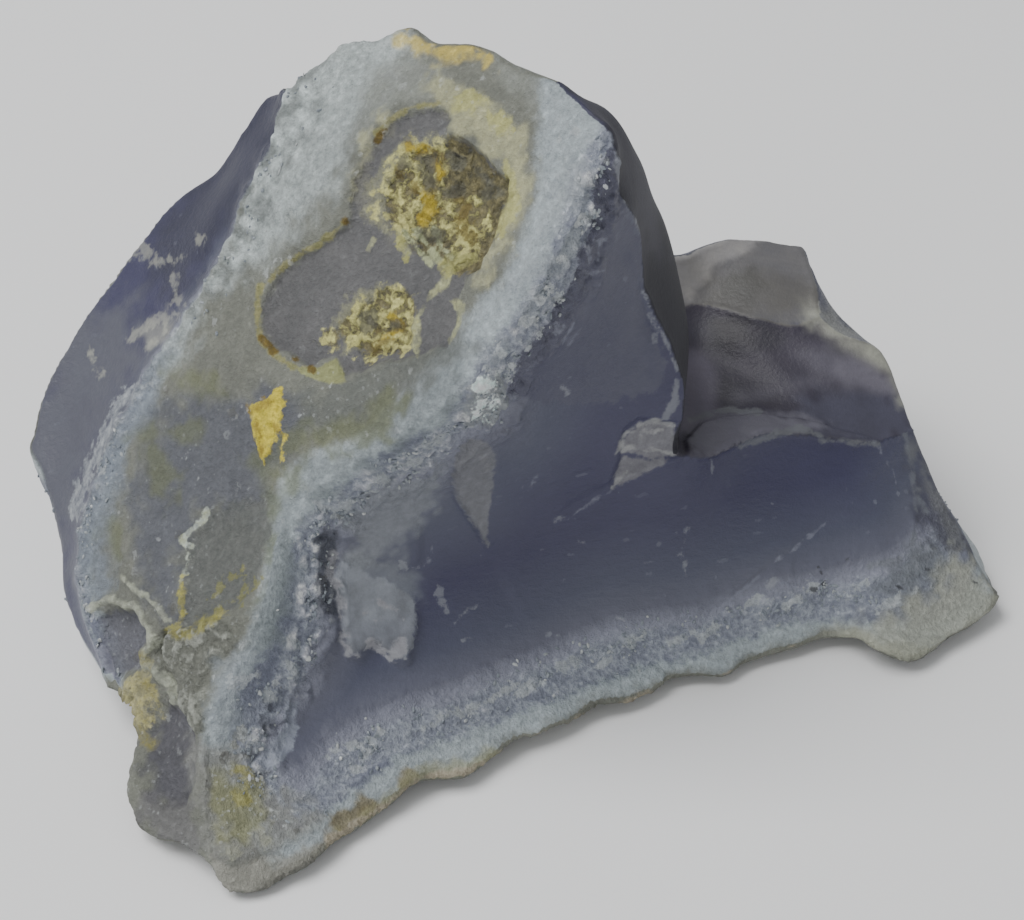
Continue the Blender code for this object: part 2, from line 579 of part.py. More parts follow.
def relief(places, on, clear):
    """How far in mm each place stands out from the plain faces."""
    picture = picture_of(places)
    fray = np.stack([fractal(places, FRAY_LENGTH, 3, 31), fractal(places, FRAY_LENGTH, 3, 32)], axis=1)
    frayed = picture + FRAY * fray
    rough = fractal(places, FLOOR_ROUGH_LENGTH, 3, 6)
    lift = rolls(places, on, clear) + quartz_lumps(places, picture, on)
    for mark in MARKS.values():
        where = frayed if mark.frayed else picture
        reach = mark.half - from_line(where, mark.points) if mark.half else into(where, mark.points)
        lift += (mark.rise + mark.rough * rough) * step_up(reach, mark.edge) * on[mark.face]

    away = np.linalg.norm(picture - np.array(RIPPLE_START), axis=1) * MM_PER_PIXEL
    waves = (away + RIPPLE["waver"] * fractal(places, 8.0, 2, 12)) / RIPPLE["length"]
    lift += RIPPLE["rise"] * np.sin(2 * math.pi * waves) * (on["bowl"] & ~on["shelf_top"])
    return lift


def surface():
    """The stone's places in mm, and its triangles, resting on its flat at height 0."""
    places, triangles, on, lines = skin(SPACING)
    places, lost, clear = worn(places, triangles, lines, SPACING)
    lift = relief(places, on, clear) + KEPT_OUTLINE * lost
    places = places + normals_of(places, triangles) * lift[:, None]
    places[:, 2] = np.maximum(places[:, 2], 0)
    return places, triangles


def thinned(mesh, count):
    """The mesh with about this many triangles, most of them where it bends most."""
    obj = bpy.data.objects.new("thinning", mesh)
    bpy.context.collection.objects.link(obj)
    obj.modifiers.new("thin", "DECIMATE").ratio = count / len(mesh.polygons)
    found = bpy.data.meshes.new_from_object(obj.evaluated_get(bpy.context.evaluated_depsgraph_get()))
    bpy.data.objects.remove(obj)
    return found


def settled(mesh):
    """Presses the flat that the stone rests on true, and moves the middle of its base to the origin."""
    for vertex in mesh.vertices:
        if vertex.co.z < FLAT_TRUE * MM:
            vertex.co.z = 0
    corners = np.array([vertex.co for vertex in mesh.vertices])
    middle = (corners.min(axis=0) + corners.max(axis=0)) / 2
    mesh.transform(Matrix.Translation((-middle[0], -middle[1], 0)))


def stone_material():
    material = bpy.data.materials.new("blue-grey chalcedony")
    material.use_nodes = True
    shader = material.node_tree.nodes["Principled BSDF"]
    shader.inputs["Base Color"].default_value = STONE_COLOUR
    shader.inputs["Roughness"].default_value = STONE_ROUGHNESS
    shader.inputs["Metallic"].default_value = 0.0
    return material


def main():
    for obj in list(bpy.data.objects):
        bpy.data.objects.remove(obj)
    places, triangles = surface()
    mesh = bpy.data.meshes.new("agate")
    mesh.from_pydata([Vector(p) * MM for p in places], [], triangles.tolist())
    mesh = thinned(mesh, TRIANGLES)
    settled(mesh)
    mesh.name = "agate"
    mesh.materials.append(stone_material())
    agate = bpy.data.objects.new("agate", mesh)
    bpy.context.collection.objects.link(agate)


main()
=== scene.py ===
import math
from typing import NamedTuple

import bpy
import numpy as np
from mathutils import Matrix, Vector, kdtree, noise
from mathutils.geometry import delaunay_2d_cdt


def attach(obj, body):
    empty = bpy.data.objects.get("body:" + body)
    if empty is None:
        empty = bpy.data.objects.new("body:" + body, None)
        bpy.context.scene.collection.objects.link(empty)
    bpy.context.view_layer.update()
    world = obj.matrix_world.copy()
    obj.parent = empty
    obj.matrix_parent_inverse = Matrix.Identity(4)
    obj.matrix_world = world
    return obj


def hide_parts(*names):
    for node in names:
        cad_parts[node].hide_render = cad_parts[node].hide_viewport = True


# A rough specimen of blue lace agate about 84 mm long: one natural piece of a vein of chalcedony and quartz,
# broken out of the rock and neither sawn nor polished. It rests on a small flat. As one stone it rides on the
# model's one body and replaces its one node. It is worked out in millimetres.
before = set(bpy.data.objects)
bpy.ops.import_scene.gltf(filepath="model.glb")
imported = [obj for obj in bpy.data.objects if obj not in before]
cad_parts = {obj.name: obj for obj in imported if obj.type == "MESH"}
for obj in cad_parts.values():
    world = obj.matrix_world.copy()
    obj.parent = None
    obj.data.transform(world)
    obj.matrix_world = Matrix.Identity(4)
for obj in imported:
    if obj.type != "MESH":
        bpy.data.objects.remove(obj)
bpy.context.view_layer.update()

# The arrises of the stone, where one broken face meets the next: crisp on the fresh breaks, nicked along the
# weathered rims. Those of the shown side were measured along one line of sight, so a point is two picture
# coordinates and a height above the table in mm; `at` gives a place on a hidden side.
MM = 0.001
SIGHT_ELEVATION = math.radians(38)
SIGHT_DISTANCE = 200.0
SIGHT_AIM = np.array((0.0, 0.0, 17.0))
MM_PER_PIXEL = 0.0827
PICTURE_MIDDLE = (512, 460)

FORWARD = np.array((0, math.cos(SIGHT_ELEVATION), -math.sin(SIGHT_ELEVATION)))
RIGHTWARD = np.array((1.0, 0.0, 0.0))
UPWARD = np.array((0, math.sin(SIGHT_ELEVATION), math.cos(SIGHT_ELEVATION)))
EYE = SIGHT_AIM - SIGHT_DISTANCE * FORWARD


def seen(across, down, height):
    """The place that shows at this picture coordinate and lies this high above the table."""
    per_pixel = MM_PER_PIXEL / SIGHT_DISTANCE
    ray = (
        FORWARD
        + (across - PICTURE_MIDDLE[0]) * per_pixel * RIGHTWARD
        + (PICTURE_MIDDLE[1] - down) * per_pixel * UPWARD
    )
    return EYE + ray * (height - EYE[2]) / ray[2]


def at(x, y, z):
    """A place on a hidden side."""
    return np.array((x, y, z), float)


# Corners where arrises meet
NOSE = seen(214, 877, 1.6)
LEFT_LOW = seen(110, 686, 4.6)
TIP = seen(29, 447, 13.0)
TOP_LEFT = seen(291, 92, 43.5)
TOP_REAR = seen(557, 82, 52.4)
TOP_RIGHT = seen(616, 138, 51.0)
STEP_TOP = seen(682, 378, 26.8)
STEP_FOOT = seen(674, 455, 19.9)
RIDGE_LEFT = at(11.5, 13.5, 21.5)
RIDGE_RIGHT = seen(819, 318, 20.9)
SHELF_REAR = at(6.0, 21.0, 25.0)
SHELF_BACK = seen(803, 246, 22.8)
END_TOP = seen(912, 431, 13.2)
END_LOW = seen(998, 594, 2.6)
GROUND_RIGHT = at(38.4, 12.8, 1.5)
GROUND_BACK = at(28.0, 29.0, 1.0)
GROUND_REAR = at(7.0, 30.0, 1.5)
GROUND_LEFT_REAR = at(-20.0, 27.0, 1.0)
GROUND_LEFT = at(-35.0, 9.0, 1.5)

EDGES = {
    "rim": [NOSE, (212, 800, 5.2), (212, 745, 8.0), (228, 695, 10.8), (252, 635, 14.5), (270, 575, 17.8),
      (286, 528, 20.4), (308, 492, 23.2), (350, 463, 26.6), (402, 434, 30.2), (446, 403, 33.6),
      (486, 360, 37.0), (520, 312, 40.2), (550, 262, 43.6), (574, 215, 46.2), (594, 172, 49.0), TOP_RIGHT],
    "top": [TOP_LEFT, (318, 68, 45.2), (345, 48, 47.2), (385, 38, 48.8), (408, 26, 50.2), (428, 41, 50.2),
      (480, 48, 51.6), (520, 66, 52.2), TOP_REAR],
    "top_right": [TOP_REAR, (585, 104, 52.4), (606, 119, 52.0), TOP_RIGHT],
    "left_rim": [TOP_LEFT, (284, 120, 42.0), (270, 152, 39.8), (250, 200, 36.6), (236, 240, 34.0),
      (214, 275, 31.2), (188, 315, 28.0), (160, 352, 24.8), (146, 385, 22.0), (120, 430, 19.0),
      (98, 478, 15.8), (84, 525, 12.2), (80, 580, 9.0), (88, 630, 6.6), LEFT_LOW],
    "left_outer": [TOP_LEFT, (270, 96, 41.5), (245, 130, 38.5), (216, 174, 34.5), (175, 202, 31.5),
      (125, 263, 26.5), (80, 325, 21.5), (45, 392, 16.5), TIP],
    "left_end": [TIP, (46, 482, 11.5), (62, 540, 8.5), (66, 595, 6.2), (86, 645, 4.6), LEFT_LOW],
    "left_low": [LEFT_LOW, (126, 690, 4.8), (140, 702, 4.7), (142, 718, 4.2), (137, 734, 3.6),
      (135, 762, 2.8), (129, 798, 1.8), (148, 836, 1.6), (194, 858, 1.8), NOSE],
    "bottom": [NOSE, (223, 896, 0.6), (244, 900, 0.6), (266, 892, 0.7), (284, 877, 0.9), (303, 867, 1.0),
      (323, 850, 1.2), (350, 829, 1.4), (376, 809, 1.5), (398, 798, 1.6), (422, 778, 1.8), (466, 779, 1.4),
      (486, 762, 1.6), (522, 739, 1.6), (562, 726, 1.6), (594, 705, 1.6), (642, 695, 1.4), (672, 679, 1.4),
      (722, 679, 1.2), (752, 660, 1.4), (800, 648, 1.4), (838, 631, 2.0), (872, 649, 2.2), (906, 659, 1.6),
      (940, 648, 1.6), (982, 622, 1.8), END_LOW],
    "step": [TOP_RIGHT, (624, 190, 46.8), (640, 240, 41.1), (646, 290, 35.9), (665, 332, 31.3), STEP_TOP],
    "step_low": [STEP_TOP, (684, 398, 25.0), (680, 426, 22.4), STEP_FOOT],
    "shelf_front": [STEP_FOOT, (704, 456, 18.4), (732, 446, 17.8), (772, 433, 17.4), (822, 438, 15.8),
      (868, 441, 14.4), END_TOP],
    "end": [END_TOP, (937, 490, 9.0), (964, 537, 6.2), END_LOW],
    "shelf_end": [RIDGE_RIGHT, (842, 335, 20.0), (880, 352, 18.6), (897, 390, 16.0), END_TOP],
    "shelf_side": [SHELF_BACK, (812, 271, 22.2), RIDGE_RIGHT],
    "ridge": [RIDGE_LEFT, (700, 305, 21.2), (750, 316, 21.4), (790, 326, 20.8), RIDGE_RIGHT],
    "shelf_back": [SHELF_REAR, (672, 256, 25.0), (700, 249, 24.4), (722, 241, 24.2), (762, 241, 23.4),
      SHELF_BACK],
    "foot": [STEP_FOOT, at(13.2, 2.0, 18.8), at(12.6, 8.0, 19.6), RIDGE_LEFT],
    "foot_rear": [RIDGE_LEFT, at(9.5, 17.5, 22.6), SHELF_REAR],
    "tower_back": [TOP_REAR, at(5.5, 7.0, 45.0), at(7.0, 13.0, 36.0), at(7.0, 18.0, 29.5), SHELF_REAR],
    "rear": [SHELF_REAR, at(6.5, 25.5, 15.0), GROUND_REAR],
    "back": [SHELF_BACK, at(28.5, 27.5, 12.0), GROUND_BACK],
    "left_rear": [TOP_LEFT, at(-16.5, 20.0, 34.0), at(-18.5, 25.0, 16.0), GROUND_LEFT_REAR],
    "left_under": [TIP, at(-40.0, 9.5, 7.0), GROUND_LEFT],
    "end_under": [END_LOW, at(40.2, 3.4, 1.8), GROUND_RIGHT],
    "ground_right": [GROUND_RIGHT, at(36.0, 22.0, 1.2), GROUND_BACK],
    "ground_back": [GROUND_BACK, at(18.0, 31.0, 1.4), GROUND_REAR],
    "ground_rear": [GROUND_REAR, at(-6.0, 31.0, 1.2), GROUND_LEFT_REAR],
    "ground_left_rear": [GROUND_LEFT_REAR, at(-30.0, 20.0, 1.4), GROUND_LEFT],
    "ground_left": [GROUND_LEFT, at(-32.5, -2.0, 1.6), (112, 680, 3.2), LEFT_LOW],
}
HIDDEN_EDGES = {"rear", "back", "left_rear", "left_under", "end_under", "ground_right", "ground_back",
                "ground_rear", "ground_left_rear", "ground_left"}

# How far in mm an arris strays from its measured points, and over what length: in long waves on the hidden
# sides, in short nicks elsewhere, and everywhere in the smallest nicks
HIDDEN_WAVE, HIDDEN_WAVE_LENGTH = 2.0, 14.0
EDGE_NICKS = {"bottom": 0.45, "left_rim": 0.45, "rim": 0.35, "top": 0.4, "left_low": 0.4, "shelf_front": 0.2}
PLAIN_NICK, NICK_LENGTH = 0.15, 3.0
SMALL_NICK, SMALL_NICK_LENGTH = 0.06, 0.9
LOWEST_ARRIS = 0.4
# Distance in mm between the places of a shown arris or face, and of a hidden arris
FINE = 0.22
HIDDEN_LINE = 0.6


def placed(points):
    """The measured points as places; corners and hidden places are places already."""
    return [seen(*point) if isinstance(point, tuple) else point for point in points]


def fractal(places, scale, octaves, seed):
    """Fractal noise from about -1 to 1 at each place, with its largest lumps `scale` mm across."""
    shift = Vector((seed * 17.3, seed * 5.1, seed * 29.7))
    return np.array([noise.fractal(Vector(p) / scale + shift, 1.0, 2.0, octaves) for p in places])


def dense_line(points, spacing):
    """A smooth line through the points, with a place about every `spacing` mm."""
    line = [points[0]]
    for i in range(len(points) - 1):
        before = points[max(i - 1, 0)]
        start, end = points[i], points[i + 1]
        after = points[min(i + 2, len(points) - 1)]
        count = max(1, round(float(np.linalg.norm(end - start)) / spacing))
        for t in np.arange(1, count + 1) / count:
            line.append(
                0.5 * (2 * start + (end - before) * t
                       + (2 * before - 5 * start + 4 * end - after) * t**2
                       + (3 * start - before - 3 * end + after) * t**3)
            )
    return np.array(line)


def nicked(line, name, seed):
    """The line with its ends kept and the rest moved aside, in long waves on the hidden sides."""
    hidden = name in HIDDEN_EDGES
    depth = HIDDEN_WAVE if hidden else EDGE_NICKS.get(name, PLAIN_NICK)
    length = HIDDEN_WAVE_LENGTH if hidden else NICK_LENGTH
    run = np.concatenate([[0], np.cumsum(np.linalg.norm(np.diff(line, axis=0), axis=1))])
    ends = np.clip(np.minimum(run, run[-1] - run) / (length / 1.5), 0, 1)
    moved = line.copy()
    for axis in range(3):
        moved[:, axis] += depth * ends * fractal(line, length, 2, seed + axis)
        moved[:, axis] += SMALL_NICK * ends * fractal(line, SMALL_NICK_LENGTH, 2, 60 + seed + axis)
    moved[:, 2] = np.maximum(moved[:, 2], LOWEST_ARRIS)
    return moved


edges = {name: placed(points) for name, points in EDGES.items()}
lines = {}
for number, (name, points) in enumerate(edges.items()):
    spacing = HIDDEN_LINE if name in HIDDEN_EDGES else FINE
    lines[name] = nicked(dense_line(points, spacing), name, number)

# What weather and the hammer left on the faces: the scar of a chip, hollows where softer stone crumbled out,
# a crevice between a ledge and a crusted crest, and thin flakes of chalcedony that did not quite come off.
# Points are picture coordinates: an outline, or with a half width the line that the mark follows.


class Mark(NamedTuple):
    """A place where a face stands proud of its plate or is sunk into it; lengths in mm."""
    face: str
    rise: float
    edge: float
    points: list
    rough: float = 0.0
    frayed: bool = True
    half: float = 0.0


MARKS = {
    "chip scar": Mark("vein_wall", -0.5, 0.5, [(446, 136), (446, 112), (438, 106), (414, 108), (388, 121),
      (370, 140), (357, 162), (350, 182), (346, 205), (345, 222), (322, 240), (297, 256), (272, 280),
      (262, 300), (261, 330), (276, 350), (305, 365), (330, 358), (345, 372), (372, 362), (402, 358),
      (424, 350), (444, 345), (456, 322), (452, 300), (472, 268), (500, 235), (508, 195), (490, 160),
      (470, 145)]),
    "upper hollow": Mark("vein_wall", -0.5, 1.0, [(398, 146), (418, 141), (442, 142), (452, 138), (472, 152),
      (490, 165), (504, 182), (500, 205), (490, 228), (482, 250), (476, 268), (455, 270), (436, 262),
      (415, 252), (400, 236), (384, 216), (376, 200), (388, 180), (396, 164)], rough=0.3),
    "lower hollow": Mark("vein_wall", -0.4, 0.8, [(334, 318), (350, 300), (372, 290), (394, 284), (406, 296),
      (408, 320), (404, 346), (386, 352), (362, 358), (344, 348), (332, 336)], rough=0.3),
    "small ring": Mark("vein_wall", -0.1, 0.5, [(312, 338), (318, 330), (328, 330), (333, 338), (326, 348),
      (316, 346)], rough=0.25),
    "green dip": Mark("vein_wall", -0.35, 1.8, [(204, 512), (190, 528), (180, 548), (181, 590), (180, 628),
      (205, 622), (240, 606), (256, 590), (264, 556), (270, 520), (262, 500), (236, 498)]),
    "dip lip": Mark("vein_wall", 0.2, 0.4, [(207, 511), (200, 523), (193, 530), (184, 541), (188, 552),
      (185, 566), (181, 580), (181, 628)], half=0.12),
    "undercut": Mark("vein_wall", -0.9, 1.1, [(100, 618), (120, 609), (132, 612), (138, 622), (144, 640),
      (138, 654), (140, 664), (126, 672), (110, 680), (98, 660), (94, 636)]),
    "ledge": Mark("vein_wall", 0.4, 0.4, [(92, 606), (112, 600), (130, 602), (140, 612), (146, 626),
      (152, 640), (144, 654), (148, 664), (158, 668), (166, 680), (170, 698)], half=0.34),
    "pale seam": Mark("vein_wall", 0.2, 0.3, [(122, 578), (132, 588), (146, 596), (158, 608), (168, 620)],
      half=0.2),
    "crevice": Mark("vein_wall", -1.0, 0.6, [(164, 636), (158, 650), (164, 664), (172, 682), (178, 702)],
      frayed=False, half=0.35),
    "crusted crest": Mark("vein_wall", 0.5, 0.7, [(170, 632), (182, 628), (200, 620), (214, 616), (232, 630),
      (240, 642), (224, 654), (212, 668), (204, 690), (206, 712), (208, 738), (200, 742), (190, 722),
      (182, 702), (178, 684), (170, 664), (164, 648)], rough=0.35),
    "shaded face": Mark("vein_wall", -0.9, 1.4, [(166, 700), (180, 706), (191, 724), (200, 744), (198, 765),
      (192, 790), (184, 806), (160, 804), (148, 790), (146, 764), (148, 740), (154, 720), (160, 706)]),
    "ochre lump": Mark("vein_wall", 0.6, 0.8, [(120, 692), (130, 678), (142, 668), (152, 673), (160, 690),
      (156, 710), (150, 728), (140, 732), (138, 714), (130, 702)], rough=0.5),
    "nose rim": Mark("vein_wall", 0.35, 1.6, [(206, 744), (200, 780), (204, 806), (206, 840), (212, 862),
      (300, 900), (300, 740), (230, 720)]),
    "yellow flake": Mark("vein_wall", 0.25, 0.3, [(283, 388), (276, 392), (268, 400), (256, 402), (249, 408),
      (253, 420), (254, 440), (258, 454), (264, 464), (271, 450), (274, 436), (281, 424), (285, 408)],
      rough=0.2),
    "foot band": Mark("front_scoop", 0.4, 0.9, [(232, 852), (262, 842), (300, 826), (340, 802), (384, 776),
      (420, 756), (470, 742), (510, 728), (560, 708), (600, 694), (650, 680)], frayed=False, half=1.1),
    "white knob": Mark("front_scoop", 0.4, 0.5, [(470, 372), (498, 370), (502, 392), (498, 418), (478, 426),
      (462, 424), (466, 398)], rough=0.3),
    "chip at the step": Mark("front_scoop", -0.5, 0.8, [(620, 446), (626, 430), (640, 420), (662, 422),
      (676, 424), (674, 456), (650, 466), (628, 474), (612, 486), (620, 462)], frayed=False),
    "lens flake": Mark("bowl", 0.45, 0.4, [(686, 456), (684, 442), (700, 426), (726, 418), (760, 416),
      (800, 420), (838, 430), (876, 441), (840, 443), (800, 444), (768, 450), (738, 458), (708, 460)],
      frayed=False),
}


class Step(NamedTuple):
    """The edge of a break: the side to its right lies `rise` mm higher, dying out over `reach` mm."""
    face: str
    rise: float
    edge: float
    reach: float
    line: list
    frayed: bool = False


STEPS = {
    "pointed flake": Step("front_scoop", 0.6, 0.25, 2.4, [(493, 560), (487, 548), (480, 534), (470, 518),
      (459, 502), (453, 486), (453, 468), (460, 448), (470, 436)]),
    "ragged flake": Step("front_scoop", 0.75, 0.25, 4.5, [(418, 584), (418, 620), (413, 648), (406, 660),
      (392, 659), (380, 648), (372, 642), (364, 648), (356, 657), (346, 652), (343, 634), (340, 612),
      (338, 588), (330, 580), (336, 566), (341, 548), (336, 530)], True),
    "upper flake": Step("front_scoop", 0.2, 0.4, 3.0, [(452, 560), (440, 566), (424, 570), (408, 564),
      (390, 566), (360, 552)], True),
    "low step": Step("front_scoop", 0.45, 0.3, 3.0, [(334, 640), (312, 670), (297, 684), (286, 702),
      (280, 722), (264, 728), (268, 746), (262, 762)], True),
    "long hackle": Step("front_scoop", -0.3, 0.7, 5.0, [(672, 622), (700, 612), (722, 603), (748, 582),
      (766, 566), (790, 548), (806, 535), (822, 518), (842, 502)]),
    "end hackle": Step("front_scoop", 0.18, 0.5, 3.0, [(905, 432), (911, 460), (917, 490), (918, 512),
      (914, 535), (908, 556)]),
    "upper hackle": Step("front_scoop", -0.2, 0.5, 3.0, [(548, 524), (570, 504), (600, 488), (640, 474),
      (676, 462)]),
    "tower hackle": Step("front_scoop", 0.25, 0.4, 2.5, [(618, 196), (630, 210), (640, 236), (640, 262)]),
    "tear": Step("front_scoop", -0.35, 0.35, 2.0, [(640, 284), (650, 306), (656, 330), (654, 346)]),
    "left chip": Step("left_facet", -0.3, 0.4, 2.5, [(112, 332), (136, 316), (152, 305), (180, 314)]),
    "upper left chip": Step("left_facet", -0.3, 0.4, 2.0, [(124, 266), (140, 272), (156, 268), (186, 258)]),
}

# Where the belt of sugary quartz comes to the surface: along the rim of the wall and along the foot
RIM_BELT = [(262, 764), (266, 730), (284, 704), (302, 682), (308, 655), (318, 630), (320, 600), (324, 572),
    (328, 552), (318, 528), (352, 520), (364, 492), (400, 478), (438, 462), (464, 428), (502, 415),
    (512, 368), (536, 340), (560, 302), (580, 280), (590, 240), (600, 212), (600, 172), (616, 146)]
RIM_BELT_HALF = 1.6
FOOT_BELT = [(300, 790), (340, 745), (380, 722), (420, 712), (460, 700), (500, 682), (540, 668), (580, 650),
    (620, 634), (660, 622), (700, 618), (740, 602), (780, 590), (820, 585), (860, 575), (900, 562),
    (925, 540)]
FOOT_BELT_HALF = 2.0


def inside(outline, places):
    """Which of the places lie inside the closed outline."""
    found = np.zeros(len(places), bool)
    for a, b in zip(outline, np.roll(outline, -1, axis=0)):
        if a[1] == b[1]:
            continue
        crosses = (a[1] > places[:, 1]) != (b[1] > places[:, 1])
        found ^= crosses & (places[:, 0] < (b[0] - a[0]) * (places[:, 1] - a[1]) / (b[1] - a[1]) + a[0])
    return found


def from_line(picture, points):
    """Distance in mm from each picture coordinate to an open line."""
    found = np.full(len(picture), np.inf)
    for a, b in zip(np.array(points[:-1], float), np.array(points[1:], float)):
        along = np.clip((picture - a) @ (b - a) / ((b - a) @ (b - a)), 0, 1)
        found = np.minimum(found, np.linalg.norm(picture - a - along[:, None] * (b - a), axis=1))
    return found * MM_PER_PIXEL


def into(picture, outline):
    """How far in mm each picture coordinate lies inside a closed outline; less than nothing outside it."""
    edge = from_line(picture, outline + outline[:1])
    return np.where(inside(np.array(outline, float), picture), edge, -edge)


def reach_of(picture, shape):
    """How far in mm each picture coordinate lies inside a mark or a patch."""
    if shape.half:
        return shape.half - from_line(picture, shape.points)
    return into(picture, shape.points)


# The broken faces: the inclined wall of the vein, shell-like breaks of the fine-grained core, and the base.
# Each has the arrises around it, the way it faces, and guide points that its surface passes through. An arris
# whose name starts with a minus sign is followed backwards.
FACES = {
    "vein_wall": (["rim", "-top_right", "-top", "left_rim", "left_low"], (-0.64, -0.47, 0.6),
      [(330, 200, 40.6), (280, 300, 32.6), (400, 280, 37.8), (470, 180, 44.6), (220, 420, 24.0),
      (300, 420, 27.2), (160, 520, 16.2), (230, 560, 17.4), (130, 620, 10.2), (200, 660, 11.6),
      (170, 770, 5.4), (420, 110, 47.4)]),
    "left_facet": (["left_rim", "-left_end", "-left_outer"], (-0.8, -0.1, 0.56),
      [(150, 290, 26.8), (75, 440, 15.0), (215, 215, 34.2)]),
    "front_scoop": (["bottom", "-end", "-shelf_front", "-step_low", "-step", "-rim"], (0.4, -0.85, 0.35),
      [(350, 560, 16.2), (300, 700, 7.6), (360, 770, 3.4), (440, 620, 9.4), (460, 480, 22.4),
      (540, 560, 12.2), (560, 400, 28.6), (600, 300, 37.8), (620, 480, 18.4), (560, 660, 4.6),
      (680, 560, 9.6), (700, 620, 4.6), (780, 500, 12.0), (800, 590, 5.4), (880, 520, 9.2),
      (900, 600, 4.2)]),
    "crescent": (["step", "step_low", "foot", "foot_rear", "-tower_back", "top_right"], (0.9, 0.0, 0.4),
      [(600, 107, 49.6), (636, 156, 43.6), (656, 205, 37.0), (666, 246, 32.0), (673, 292, 27.4),
      (681, 352, 22.8)]),
    "bowl": (["ridge", "shelf_end", "-shelf_front", "foot"], (0.1, -0.3, 0.9),
      [(710, 400, 17.4), (760, 380, 18.2), (830, 378, 18.0), (880, 400, 15.8), (700, 340, 19.4)]),
    "shelf_top": (["shelf_back", "shelf_side", "-ridge", "foot_rear"], (0.0, -0.1, 1.0),
      [(760, 280, 22.6), (700, 280, 22.6)]),
    "tower_rear": (["top", "tower_back", "rear", "ground_rear", "-left_rear"], (-0.1, 0.9, 0.3),
      [at(-8.0, 19.0, 38.0), at(-8.0, 26.0, 22.0)]),
    "left_rear_face": (["left_outer", "left_under", "-ground_left_rear", "-left_rear"], (-0.7, 0.6, -0.1),
      [at(-29.0, 18.0, 17.0)]),
    "left_low_face": (["left_end", "-ground_left", "-left_under"], (-0.8, -0.4, -0.4),
      []),
    "shelf_rear": (["shelf_back", "back", "ground_back", "-rear"], (0.0, 1.0, 0.1),
      [at(17.0, 28.5, 12.0)]),
    "right_end": (["shelf_side", "shelf_end", "end", "end_under", "ground_right", "-back"], (0.85, 0.5, 0.1),
      [at(34.6, 14.8, 9.0)]),
    "underside": (["bottom", "end_under", "ground_right", "ground_back", "ground_rear", "ground_left_rear",
      "ground_left", "left_low"], (0.0, 0.0, -1.0),
      [at(-15.0, -14.0, -0.1), at(8.0, -3.0, -0.3), at(23.0, 11.0, 0.3), at(-4.0, 18.0, 0.0),
      at(-22.0, 7.0, 0.0), at(-3.0, 3.0, -0.7)]),
}
SHOWN_FACES = {"vein_wall", "left_facet", "front_scoop", "crescent", "bowl", "shelf_top"}
# Distance in mm between the places of a hidden face
HIDDEN_FINE = 0.36
# Shown faces are finest this near to the edge of a mark
MARK_EDGE = 0.9


def picture_of(places):
    """The picture coordinates at which each place shows."""
    ray = places - EYE
    ray = ray / (ray @ FORWARD)[:, None]
    per_pixel = MM_PER_PIXEL / SIGHT_DISTANCE
    across = PICTURE_MIDDLE[0] + ray @ RIGHTWARD / per_pixel
    return np.stack([across, PICTURE_MIDDLE[1] - ray @ UPWARD / per_pixel], axis=1)


def loop_of(names, lines):
    """The closed line around a face."""
    pieces = []
    for name in names:
        line = lines[name[1:]][::-1] if name.startswith("-") else lines[name]
        if pieces and np.linalg.norm(pieces[-1][-1] - line[0]) > 1e-6:
            line = line[::-1]
        pieces.append(line)
    if np.linalg.norm(pieces[0][0] - pieces[-1][-1]) > 1e-6:
        raise ValueError(f"the arrises {names} don't close")
    return np.concatenate([piece[:-1] for piece in pieces])


def plate(places, values, wanted):
    """Bends a thin plate through the values at the places, and reads it at the wanted places."""
    def kernel(a, b):
        apart = ((a[:, None, :] - b[None, :, :]) ** 2).sum(2)
        return 0.5 * apart * np.log(np.maximum(apart, 1e-12))

    count = len(places)
    flat = np.hstack([np.ones((count, 1)), places])
    system = np.zeros((count + 3, count + 3))
    system[:count, :count] = kernel(places, places) + 1e-3 * np.eye(count)
    system[:count, count:] = flat
    system[count:, :count] = flat.T
    weights = np.linalg.solve(system, np.concatenate([values, np.zeros(3)]))
    found = [
        kernel(part, places) @ weights[:count] + np.hstack([np.ones((len(part), 1)), part]) @ weights[count:]
        for part in np.array_split(wanted, max(1, len(wanted) // 4000))
    ]
    return np.concatenate(found)


def inner(triangles, count):
    """The triangles inside the outline, which runs counter-clockwise through the first `count` places."""
    owner = {}
    for number, (a, b, c) in enumerate(triangles.tolist()):
        owner[a, b] = owner[b, c] = owner[c, a] = number
    outline = {(i, (i + 1) % count) for i in range(count)}
    waiting = [owner[edge] for edge in outline if edge in owner]
    kept = set(waiting)
    while waiting:
        a, b, c = triangles[waiting.pop()]
        for edge in ((a, b), (b, c), (c, a)):
            over = owner.get((edge[1], edge[0]))
            if edge not in outline and over is not None and over not in kept:
                kept.add(over)
                waiting.append(over)
    return triangles[sorted(kept)]


def nearest_of(places, line):
    """Distance in mm from each place to the nearest place of a line, and the number of that place."""
    tree = kdtree.KDTree(len(line))
    for number, place in enumerate(line):
        tree.insert(place, number)
    tree.balance()
    found = [tree.find(place)[1:] for place in places]
    return np.array([away for _, away in found]), np.array([number for number, _ in found])


def busy(face, places):
    """Which places need the finest mesh: along the marks' edges, and all over the rough ones."""
    picture = picture_of(places)
    found = np.zeros(len(places), bool)
    for mark in MARKS.values():
        if mark.face == face:
            reach = reach_of(picture, mark)
            found |= (np.abs(reach) < MARK_EDGE) | ((reach > -MARK_EDGE) & (mark.rough > 0))
    if face in ("front_scoop", "vein_wall"):
        found |= from_line(picture, RIM_BELT) < RIM_BELT_HALF + 0.5
    if face == "front_scoop":
        found |= from_line(picture, FOOT_BELT) < FOOT_BELT_HALF + 0.2
    return found


